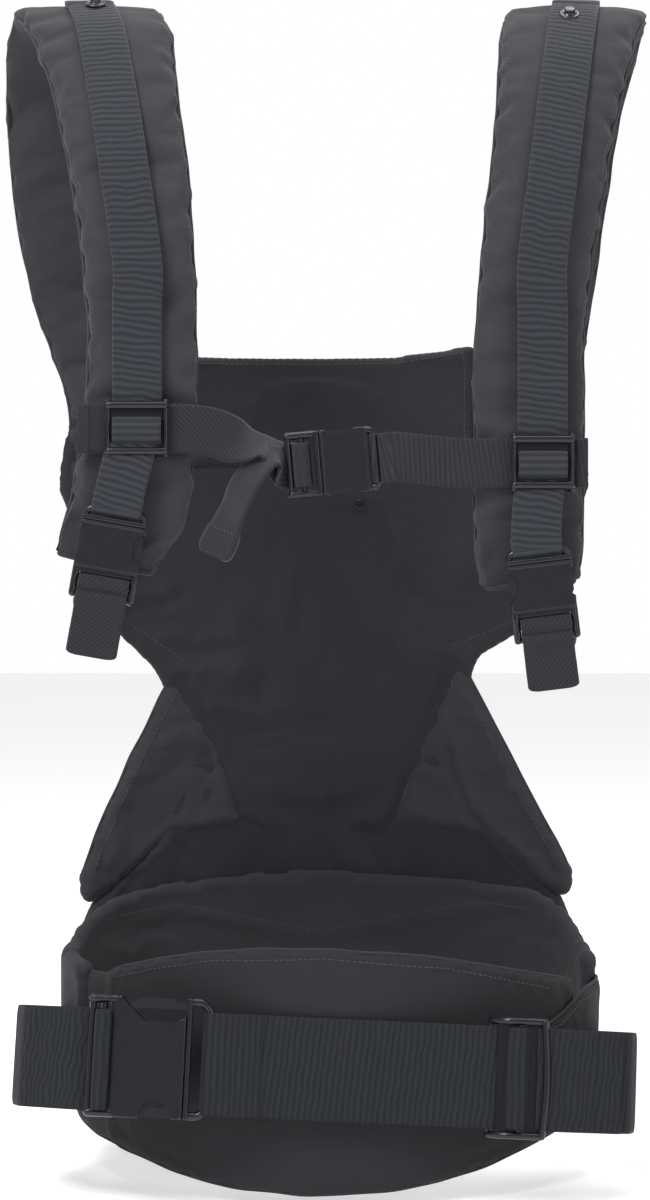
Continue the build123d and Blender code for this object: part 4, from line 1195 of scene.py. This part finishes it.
# ---------------------------------------------------------------------------------------- belt webbing
BELT_Y, BELT_Z, BELT_TILT, BELT_ROLL = -122.0, 3.0, -8.8, 2.6
BELT_LOOP_X, BELT_LOOP_Y = 158.0, 52.0
TRI_GLIDE_X = 93.0
WAIST_BUCKLE_X = -104.0
WAIST_BAR_X = WAIST_BUCKLE_X + 35.3 + 2.6 + 10.4 - 1.5
RUN_Y = -0.25


def belt_space(points):
    """From the belt's own frame to the row frame."""
    a, b = radians(BELT_TILT), radians(BELT_ROLL)
    about_x = np.array([[1, 0, 0], [0, cos(a), -sin(a)], [0, sin(a), cos(a)]])
    about_y = np.array([[cos(b), 0, sin(b)], [0, 1, 0], [-sin(b), 0, cos(b)]])
    return np.asarray(points, float) @ (about_x @ about_y).T + [0, BELT_Y, BELT_Z]


def belt_ribbon(name, corners, sigma=3.0, width=BELT, step=0.6, waver=0.7, **options):
    """Upright belt webbing along a line seen from above in the belt's own frame."""
    line = rounded_line(corners, step, sigma)
    up = np.zeros((len(line), 3))
    up[:, 2] = -1
    low = np.hstack([line, np.zeros((len(line), 1))])
    across = belt_space(up) - [0, BELT_Y, BELT_Z]
    return ribbon(name, belt_space(low), across, width, BELT_THICK, BELTING, BELT_RIB_PITCH, columns=33,
                  waver=waver, **options)


def build_belt():
    """Belt webbing: left run and its winding, right run and its turn, the tail, and the tri-glide's roll."""
    ladder = WAIST_BUCKLE_X - 13.0
    left = [(-138.4, 104), (-BELT_LOOP_X, BELT_LOOP_Y), (-BELT_LOOP_X + 7, 18)]
    left += [(ladder - 6, 0.6), (ladder + 5, 0.4)]
    run = belt_ribbon("belt_left", left, slant=0.12, height=0.36, waver=2.2)
    ride(run, "carrier", "webbing_belt", "waist_webbing_left")
    winding = [(ladder + 2, 1.0), (ladder + 3.4, -3.0), (ladder + 4.6, -7.2), (ladder + 7.4, -8.0)]
    winding += [(ladder + 10.2, -7.0), (ladder + 11.4, -3.4), (ladder + 12.0, 0.5)]
    wound = belt_ribbon("belt_left_winding", winding, sigma=1.0, step=0.4, width=BELT - 1, height=0.36)
    ride(wound, "carrier", "webbing_belt")

    start = WAIST_BAR_X + 2.0
    right = [(start, RUN_Y), (116, RUN_Y), (BELT_LOOP_X - 6, 19), (BELT_LOOP_X, BELT_LOOP_Y), (142.4, 104)]
    run = belt_ribbon("belt_right", right, slant=0.08, height=0.36)
    ends = ((60, -122, 3), (-45, -122, 3))
    span(run, "carrier", "waist_insert", *ends, "webbing_belt", "waist_webbing_right")
    r, y = 1.75 + BELT_THICK / 2, RUN_Y - 2.75
    turn = [(WAIST_BAR_X + 5, y + r), (WAIST_BAR_X + 1, y + r)]
    turn += [(WAIST_BAR_X - r * sin(a), y + r * cos(a)) for a in np.linspace(0.2, pi - 0.2, 9)]
    turn += [(WAIST_BAR_X + 1, y - r), (WAIST_BAR_X + 8, y - r + 0.6), (WAIST_BAR_X + 26, RUN_Y - 0.5)]
    loop = belt_ribbon("belt_right_turn", turn, sigma=0.5, step=0.4, height=0.3)
    ride(loop, "waist_insert", "webbing_belt")

    tail = [(104, RUN_Y - 2.6), (117, RUN_Y - 2.6), (146.0, 10.4)]
    end = belt_ribbon("belt_tail", tail, hem=(0, 12), slant=0.08, height=0.36, waver=1.5)
    ride(end, "carrier", "webbing_belt", "waist_webbing_tail")
    x = TRI_GLIDE_X
    rise = [(x - 3.6, RUN_Y + 0.2), (x - 3.2, RUN_Y - 2.6), (x - 1.2, RUN_Y - 4.6), (x + 1.5, RUN_Y - 5.0)]
    rise += [(x + 4.2, RUN_Y - 4.6), (x + 6.2, RUN_Y - 2.6), (x + 6.6, RUN_Y + 0.2)]
    over = belt_ribbon("tri_glide_webbing", rise, sigma=1.2, step=0.45, width=BELT - 0.6, height=0.36)
    ride(over, "tri_glide", "webbing_belt")


# ---------------------------------------------------------------------------------------------- hardware
class Moulding:
    """Moulded pieces put together in a local frame, in millimetres, and mapped into space as one mesh."""

    def __init__(self):
        self.points, self.faces = [], []

    def keep(self, points, faces):
        start = len(self.points)
        self.points += [tuple(p) for p in points]
        self.faces += [tuple(i + start for i in f) for f in faces]

    def keep_mesh(self, bm):
        bmesh.ops.recalc_face_normals(bm, faces=bm.faces)
        bm.verts.index_update()
        self.keep([v.co.copy() for v in bm.verts], [[v.index for v in f.verts] for f in bm.faces])
        bm.free()

    def block(self, x0, x1, y0, y1, z0, z1, round_off=0.5):
        bm = bmesh.new()
        bmesh.ops.create_cube(bm, size=1.0)
        size = Vector((x1 - x0, y1 - y0, z1 - z0))
        middle = Vector((x1 + x0, y1 + y0, z1 + z0)) / 2
        for v in bm.verts:
            v.co = Vector(c * s for c, s in zip(v.co, size)) + middle
        bmesh.ops.bevel(bm, geom=bm.edges[:], offset=round_off, segments=3, profile=0.5, affect="EDGES")
        self.keep_mesh(bm)

    def plate(self, outline, z0, z1, round_off=0.6):
        """Flat moulding with the outline of (x, y) corners and rounded rims."""
        bm = bmesh.new()
        low, top = ([bm.verts.new((x, y, z)) for x, y in outline] for z in (z0, z1))
        bm.faces.new(low[::-1])
        bm.faces.new(top)
        for i in range(len(outline)):
            bm.faces.new((low[i - 1], low[i], top[i], top[i - 1]))
        rims = [e for e in bm.edges if abs(e.verts[0].co.z - e.verts[1].co.z) < 1e-6]
        bmesh.ops.bevel(bm, geom=rims, offset=round_off, segments=3, profile=0.5, affect="EDGES")
        self.keep_mesh(bm)

    def tube(self, path, radius, sides=14, flat=1.0):
        """Round bar along a path, with domed ends; flat under 1 presses it thinner in z."""
        path = np.asarray(path, float)
        tangent = unit(np.gradient(path, axis=0))
        up = np.array([0, 0, 1.0]) if abs(tangent[0, 2]) < 0.9 else np.array([1.0, 0, 0])
        side = unit(np.cross(tangent, up))
        rise = np.cross(side, tangent)
        rings = []
        dome = [(0.0, 0.35), (0.25, 0.72), (0.6, 0.93)]
        for back, size in dome:
            rings.append((path[0] - tangent[0] * radius * (0.9 - back * 0.9), size, 0))
        rings += [(p, 1.0, i) for i, p in enumerate(path)]
        for back, size in reversed(dome):
            rings.append((path[-1] + tangent[-1] * radius * (0.9 - back * 0.9), size, -1))
        points = []
        for place, size, i in rings:
            for k in range(sides):
                a = 2 * pi * k / sides
                points.append(place + radius * size * (side[i] * cos(a) + rise[i] * sin(a) * flat))
        faces = [tuple(reversed(f)) for f in grid_faces(len(rings), sides, closed=True)]
        faces.append(tuple(range(sides)))
        faces.append(tuple((len(rings) - 1) * sides + k for k in reversed(range(sides))))
        self.keep(points, faces)

    def finish(self, name, to_space, material):
        points = to_space(np.array(self.points))
        obj = make(name, points, self.faces, material, points[:, [0, 2]])
        obj.modifiers.new("Weighted normal", "WEIGHTED_NORMAL")
        return obj


def hollow(start, end, depth):
    """A window's edge as a flattened arch: places along the buckle, and depths below its side."""
    return [(start + (end - start) * t, depth * np.sin(pi * t) ** 0.45) for t in np.linspace(0, 1, 17)]


class BuckleKind:
    """Sizes of a side-release buckle for one webbing width, as in the frame."""

    def __init__(self, strap, width, length, thick, ladder, base, wall, notch):
        self.strap, self.width, self.length, self.thick = strap, width, length, thick
        self.ladder, self.base, self.wall, self.notch = ladder, base, wall, notch
        self.insert_x = length + 0.3
        self.rail = width / 2 - (strap / 2 + 0.7)

    def face(self):
        """Outline of the receptacle's face, with a window over each prong."""
        half, long = self.width / 2, self.length
        sides = []
        for window in self.notch:
            side = [(0.8, half - 1.4), (2.2, half - 0.2), *[(x, half - depth) for x, depth in window]]
            if window[-1][1] < 1:
                side += [(long - 1.2, half), (long, half - 1.2)]
            sides.append(side)
        return [*sides[0], *[(x, -y) for x, y in reversed(sides[1])]]

    def receptacle(self, with_ladder):
        shape = Moulding()
        half, t, long = self.width / 2, self.thick / 2, self.length
        for low, high in ((t - self.wall, t), (-t, self.wall - t)):
            shape.plate(self.face(), low, high, 0.55)
        for s, window in zip((1, -1), self.notch):
            y0, y1 = sorted((s * (half - self.wall), s * (half - 0.1)))
            shape.block(0.6, window[0][0], y0, y1, -t + 0.2, t - 0.2, 0.5)
            if window[-1][1] < 1:
                shape.block(0.9 * long, long, y0, y1, -t + 0.2, t - 0.2, 0.5)
        shape.block(0, self.wall * 1.5, 1.2 - half, half - 1.2, -t + 0.3, t - 0.3, 0.4)
        # A thickened lip round the mouth.
        top = half - self.notch[0][-1][1] - 1.6
        for s in (-1, 1):
            lip = [(long - 0.9, y, s * (t - 0.35)) for y in np.linspace(1.6 - half, top, 9)]
            shape.tube(lip, 0.95, flat=0.8)
        self.bars(shape, 0.0, -1, with_ladder)
        return shape

    def insert(self, with_ladder):
        shape = Moulding()
        half, t, x = self.width / 2, self.thick / 2, self.insert_x
        shape.block(x, x + 2.6, -half, half, -t, t, 0.9)
        inside = (self.thick - 2 * self.wall - 0.8) / 2
        shape.block(self.length * 0.3, x + 1, -self.width * 0.11, self.width * 0.11, -inside, inside, 0.4)
        self.bars(shape, x + 2.6, 1, with_ladder)
        return shape

    def bars(self, shape, edge, way, with_ladder):
        """A ladder of two bars between side rails, or one sewn-in bar on a rounded loop."""
        half = self.width / 2
        middle = half - self.rail / 2
        if with_ladder:
            x0, x1 = sorted((edge - way * 0.5, edge + way * 2.3))
            shape.block(x0, x1, 1 - half, half - 1, -1.6, 1.6, 0.4)
            r, reach = 1.6, self.ladder
            for place in (reach - r, reach * 0.5 - 0.8):
                shape.tube([(edge + way * place, y, 0) for y in np.linspace(-middle, middle, 7)], r)
            for s in (-1, 1):
                places = ((-0.5, 0), (3, 0.2), (reach * 0.6, 0), (reach - 1.5, 0))
                rail = [(edge + way * a, s * middle, z) for a, z in places]
                shape.tube(rounded_line(rail, 0.8, 0.8), self.rail / 2 + 0.3, flat=1.25)
        else:
            reach = self.base - 1.5
            turn = min(4.0, self.base * 0.45)
            loop = [(-1, -middle), (reach - turn, -middle), (reach, turn - middle)]
            loop += [(reach, middle - turn), (reach - turn, middle), (-1, middle)]
            path = rounded_line([(edge + way * x, y, 0.0) for x, y in loop], 0.7, 1.2)
            shape.tube(path, min(self.rail / 2 + 0.2, 2.2), flat=1.1)


SMALL_WINDOW = hollow(6.2, 21.0, 4.6)
# The large buckle's upper window slants in and stays open towards the insert.
LARGE_WINDOW = [(3.2, 0.5), (13.4, 11.4), (14.6, 12.2), (30.5, 12.2), (34.0, 9.4), (35.0, 9.0)]
SMALL = BuckleKind(NARROW, 33.0, 24.0, 8.6, SMALL_LADDER, 5.4, 1.5, (SMALL_WINDOW, SMALL_WINDOW))
LARGE = BuckleKind(BELT, 59.0, 35.0, 11.0, 13.0, 10.4, 2.0, (LARGE_WINDOW, hollow(13.0, 30.0, 8.8)))


def strap_space(buckle, slope):
    def to_space(p):
        a = radians(slope)
        up, out = np.array([sin(a), 0, cos(a)]), np.array([0, -1.0, 0])
        return np.array(buckle) + p[:, :1] * up + p[:, 1:2] * np.cross(out, up) + p[:, 2:] * out
    return to_space


def chest_space(p):
    a = radians(CHEST_SLOPE)
    way, out = np.array([-cos(a), 0, -sin(a)]), np.array([0, -1.0, 0])
    return np.array(CHEST_BUCKLE) + p[:, :1] * way + p[:, 1:2] * np.cross(out, way) + p[:, 2:] * out


def waist_space(p):
    return belt_space(np.stack([WAIST_BUCKLE_X + p[:, 0], -3.0 - p[:, 2], 2.0 + p[:, 1]], 1))


def moulded_piece(name, shape, to_space, body, *nodes):
    piece = shape.finish(name, to_space, PLASTIC)
    return ride(piece, body, "buckle_plastic", *nodes)


def build_buckles():
    for side, place, slope in (("left", LEFT_BUCKLE, LEFT_SLOPE), ("right", RIGHT_BUCKLE, RIGHT_SLOPE)):
        to_space = strap_space(place, slope)
        name = f"{side}_side_receptacle"
        moulded_piece(f"{side}_side_buckle_body", SMALL.receptacle(True), to_space, name, name)
        plug = f"{side}_side_insert"
        moulded_piece(f"{side}_side_buckle_plug", SMALL.insert(False), to_space, "carrier", plug)
    body = SMALL.receptacle(False)
    moulded_piece("chest_buckle_body", body, chest_space, "chest_receptacle", "chest_receptacle")
    moulded_piece("chest_buckle_plug", SMALL.insert(True), chest_space, "chest_strap", "chest_insert")
    moulded_piece("waist_buckle_body", LARGE.receptacle(True), waist_space, "carrier", "waist_receptacle")
    moulded_piece("waist_buckle_plug", LARGE.insert(False), waist_space, "waist_insert", "waist_insert")


def build_sliders():
    """Chest strap sliders: two bars across the shoulder webbing between thin posts, and a back plate."""
    for side, (x, z) in (("left", LEFT_SLIDER), ("right", RIGHT_SLIDER)):
        shape = Moulding()
        front = WEBBING_Y - NARROW_THICK / 2 - 0.4
        back = CHEST_WEBBING_Y + NARROW_THICK / 2 + 0.4
        for s in (-1, 1):
            shape.tube([(u, front - 1.9, s * 11.6) for u in np.linspace(-14.2, 14.2, 9)], 2.1)
            shape.tube([(s * 14.6, front - 1.5, v) for v in np.linspace(-13, 13, 9)], 1.25)
            for v in (-13.6, 13.6):
                end = [(s * 14.6, front - 2.0, v), (s * 14.6, front + 0.5, v), (s * 14.6, back + 0.8, v)]
                shape.tube(end, 1.3)
        shape.block(-16, 16, back, back + 1.1, -15.2, 15.2, 0.4)
        name = f"chest_slider_{side}"
        place = np.array([x, 0, z])
        moulded_piece(f"{name}_frame", shape, lambda p, place=place: p + place, "chest_strap", name)
        # Thin dark sheet under the roll of webbing: painted shade between it and the bars.
        shade_sheet = Moulding()
        shade_sheet.block(-13, 13, front - 1.0, front - 0.5, -11, 11, 0.15)
        shade_sheet = shade_sheet.finish(f"{name}_web", lambda p, place=place: p + place, SHADED)
        ride(shade_sheet, "chest_strap", "buckle_plastic")


def build_tri_glide():
    """Belt tri-glide: side bars and slightly bowed rails round a centre bar."""
    shape = Moulding()
    over = RUN_Y - BELT_THICK / 2 - 0.4
    tall = BELT / 2 + 2.7
    for s in (-1, 1):
        rail = [(-11.6, 4.0), (-8, 0.4), (-3, -2.0), (6, -1.6), (14.2, -1.4)]
        shape.tube(rounded_line([(x, over + y, s * tall) for x, y in rail], 1.0, 1.5), 1.75)
    # The left bar lies behind the webbing, and the bowed right bar in front of its tail.
    for x, bow, y in ((-11.8, -0.6, 4.8), (14.2, 1.6, -2.0)):
        bar = [(x + bow * (1 - (z / tall) ** 2), over + y - 0.8 * (1 - (z / tall) ** 2), z)
               for z in np.linspace(-tall, tall, 15)]
        shape.tube(bar, 1.75)
    behind = RUN_Y + BELT_THICK / 2 + 1.6
    shape.block(-3, 3, behind - 1.2, behind + 1.2, -tall - 1, tall + 1, 0.8)
    for s in (-1, 1):
        z0, z1 = sorted((s * (BELT / 2 + 0.8), s * (tall + 1.5)))
        shape.block(-3, 3, over - 2.4, behind, z0, z1, 0.7)

    def to_space(p):
        return belt_space(p + [TRI_GLIDE_X, 0, 0])

    moulded_piece("tri_glide_frame", shape, to_space, "tri_glide", "tri_glide")
    # Dark sheets as floors of the two slots: painted shade beside the roll of webbing.
    shade_sheet = Moulding()
    for x0, x1 in ((-8.6, -2.6), (6.0, 12.8)):
        shade_sheet.block(x0, x1, over - 1.1, over - 0.5, -tall + 1, tall - 1, 0.15)
    ride(shade_sheet.finish("tri_glide_painted_shade", to_space, SHADED), "tri_glide", "buckle_plastic")


def lathe(name, profile, place, axis, material):
    """Turned piece from (radius, height) stops, standing at a place along an axis."""
    axis = unit(np.asarray(axis, float))
    side = unit(np.cross(axis, [0.3, 0.9, 0.2]))
    third = np.cross(axis, side)
    sides = 40
    points = []
    for r, h in profile:
        for k in range(sides):
            a = 2 * pi * k / sides
            points.append(np.array(place) + axis * h + r * (side * cos(a) + third * sin(a)))
    faces = grid_faces(len(profile), sides, closed=True)
    faces.append(tuple(reversed(range(sides))))
    faces.append(tuple((len(profile) - 1) * sides + k for k in range(sides)))
    return make(name, points, faces, material, np.array(points)[:, [0, 2]])


STUD_BASE = [(5.4, 0), (5.5, 0.35), (5.2, 0.85), (4.6, 1.0), (4.3, 0.8), (3.9, 0.75), (3.5, 1.0), (3.2, 1.3)]
STUD_NECK = [(2.9, 1.5), (2.7, 2.2)]
STUD_HEAD = [(2.85, 2.9), (2.75, 3.35), (2.2, 3.55), (1.5, 3.4), (0.9, 3.3), (0.3, 3.35)]


def build_studs():
    """Turned press studs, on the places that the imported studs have."""
    for side in ("left", "right"):
        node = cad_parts[f"hood_stud_{side}"]
        co = points_of(node)
        middle = co.mean(0)
        _, _, ways = np.linalg.svd(co - middle, full_matrices=False)
        spread = [np.linalg.norm(np.cross(co - middle, w), axis=1).std() for w in ways]
        axis = ways[int(np.argmin(spread))]
        if axis[2] < 0:
            axis = -axis
        base = middle + axis * ((co - middle) @ axis).min()
        stud = lathe(f"hood_stud_{side}_cap", [*STUD_BASE, *STUD_NECK, *STUD_HEAD], base, axis, ENAMEL)
        ride(stud, "carrier", "stud", f"hood_stud_{side}")


def polish_hardware():
    """Moulded material and soft edges on the CAD pieces that stay as they are."""
    for name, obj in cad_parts.items():
        if "prong" in name or "button" in name:
            obj.data.materials.clear()
            obj.data.materials.append(ENAMEL)
            bevel = obj.modifiers.new("Bevel", "BEVEL")
            bevel.width = 0.45 * MM
            bevel.segments = 2
            bevel.limit_method = "ANGLE"
            bevel.angle_limit = radians(35)
    for name in ("hook_tape", "loop_tape"):
        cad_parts[name].data.materials.clear()
        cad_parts[name].data.materials.append(CANVAS)


# ------------------------------------------------------------------------------------------------ stage
CAMERA_DISTANCE = 1.5
CAMERA_HEIGHT = 0.234
LENS = 84.03


def build_stage():
    """Camera, floor, white surroundings and three lamps."""
    scene = bpy.context.scene
    camera = bpy.data.objects.new("camera", bpy.data.cameras.new("camera"))
    camera.data.lens = LENS
    camera.data.sensor_width = 36
    camera.location = (0, -CAMERA_DISTANCE, CAMERA_HEIGHT)
    camera.rotation_euler = (radians(90), 0, 0)
    scene.collection.objects.link(camera)
    scene.camera = camera

    bpy.ops.mesh.primitive_plane_add(size=14, location=(0, 3, CAD_BOX[0].z - 0.004))
    floor = bpy.context.object
    floor.name = "floor"
    mat, _, _, shader = new_material("floor")
    shader.inputs["Base Color"].default_value = (0.97, 0.97, 0.97, 1)
    shader.inputs["Roughness"].default_value = 0.9
    shader.inputs["Emission Color"].default_value = (1, 1, 1, 1)
    shader.inputs["Emission Strength"].default_value = 0.3
    floor.data.materials.append(mat)

    world = bpy.data.worlds.new("studio")
    world.use_nodes = True
    # The backdrop is white, and lights the carrier less than it shows.
    nodes, links = world.node_tree.nodes, world.node_tree.links
    shown, lit = nodes["Background"], nodes.new("ShaderNodeBackground")
    shown.inputs["Color"].default_value = lit.inputs["Color"].default_value = (1, 1, 1, 1)
    lit.inputs["Strength"].default_value = 0.6
    either = nodes.new("ShaderNodeMixShader")
    links.new(nodes.new("ShaderNodeLightPath").outputs["Is Camera Ray"], either.inputs[0])
    links.new(lit.outputs[0], either.inputs[1])
    links.new(shown.outputs[0], either.inputs[2])
    links.new(either.outputs[0], nodes["World Output"].inputs["Surface"])
    scene.world = world
    for name, place, size, power in (
        ("key", (-1.0, -1.4, 1.9), 0.9, 44),
        ("fill", (1.5, -1.5, 0.9), 1.4, 10),
        ("top", (0.1, 0.1, 1.9), 1.2, 16),
    ):
        light = bpy.data.objects.new(name, bpy.data.lights.new(name, "AREA"))
        light.data.size = size
        light.data.energy = power
        light.location = place
        light.rotation_euler = (Vector((0, 0, 0.25)) - Vector(place)).to_track_quat("-Z", "Y").to_euler()
        scene.collection.objects.link(light)
    scene.view_settings.view_transform = "Standard"


build_stage()
build_panel()
build_neck_support()
build_thighs()
build_waist_band()
build_flaps()
left_pad = build_pad("left", LEFT_PAD, 3)
right_pad = build_pad("right", RIGHT_PAD, 8)
build_shoulder_webbing("left", left_pad, LEFT_PAD, LEFT_SLIDER[0], 322.0, LEFT_BUCKLE, LEFT_SLOPE, -2)
build_shoulder_webbing("right", right_pad, RIGHT_PAD, RIGHT_SLIDER[0], 302.0, RIGHT_BUCKLE, RIGHT_SLOPE, 2)
build_side_strap("left", LEFT_BUCKLE, LEFT_SLOPE, 29)
build_side_strap("right", RIGHT_BUCKLE, RIGHT_SLOPE, 25)
build_chest_strap()
build_belt()
build_buckles()
build_sliders()
build_tri_glide()
build_studs()
polish_hardware()
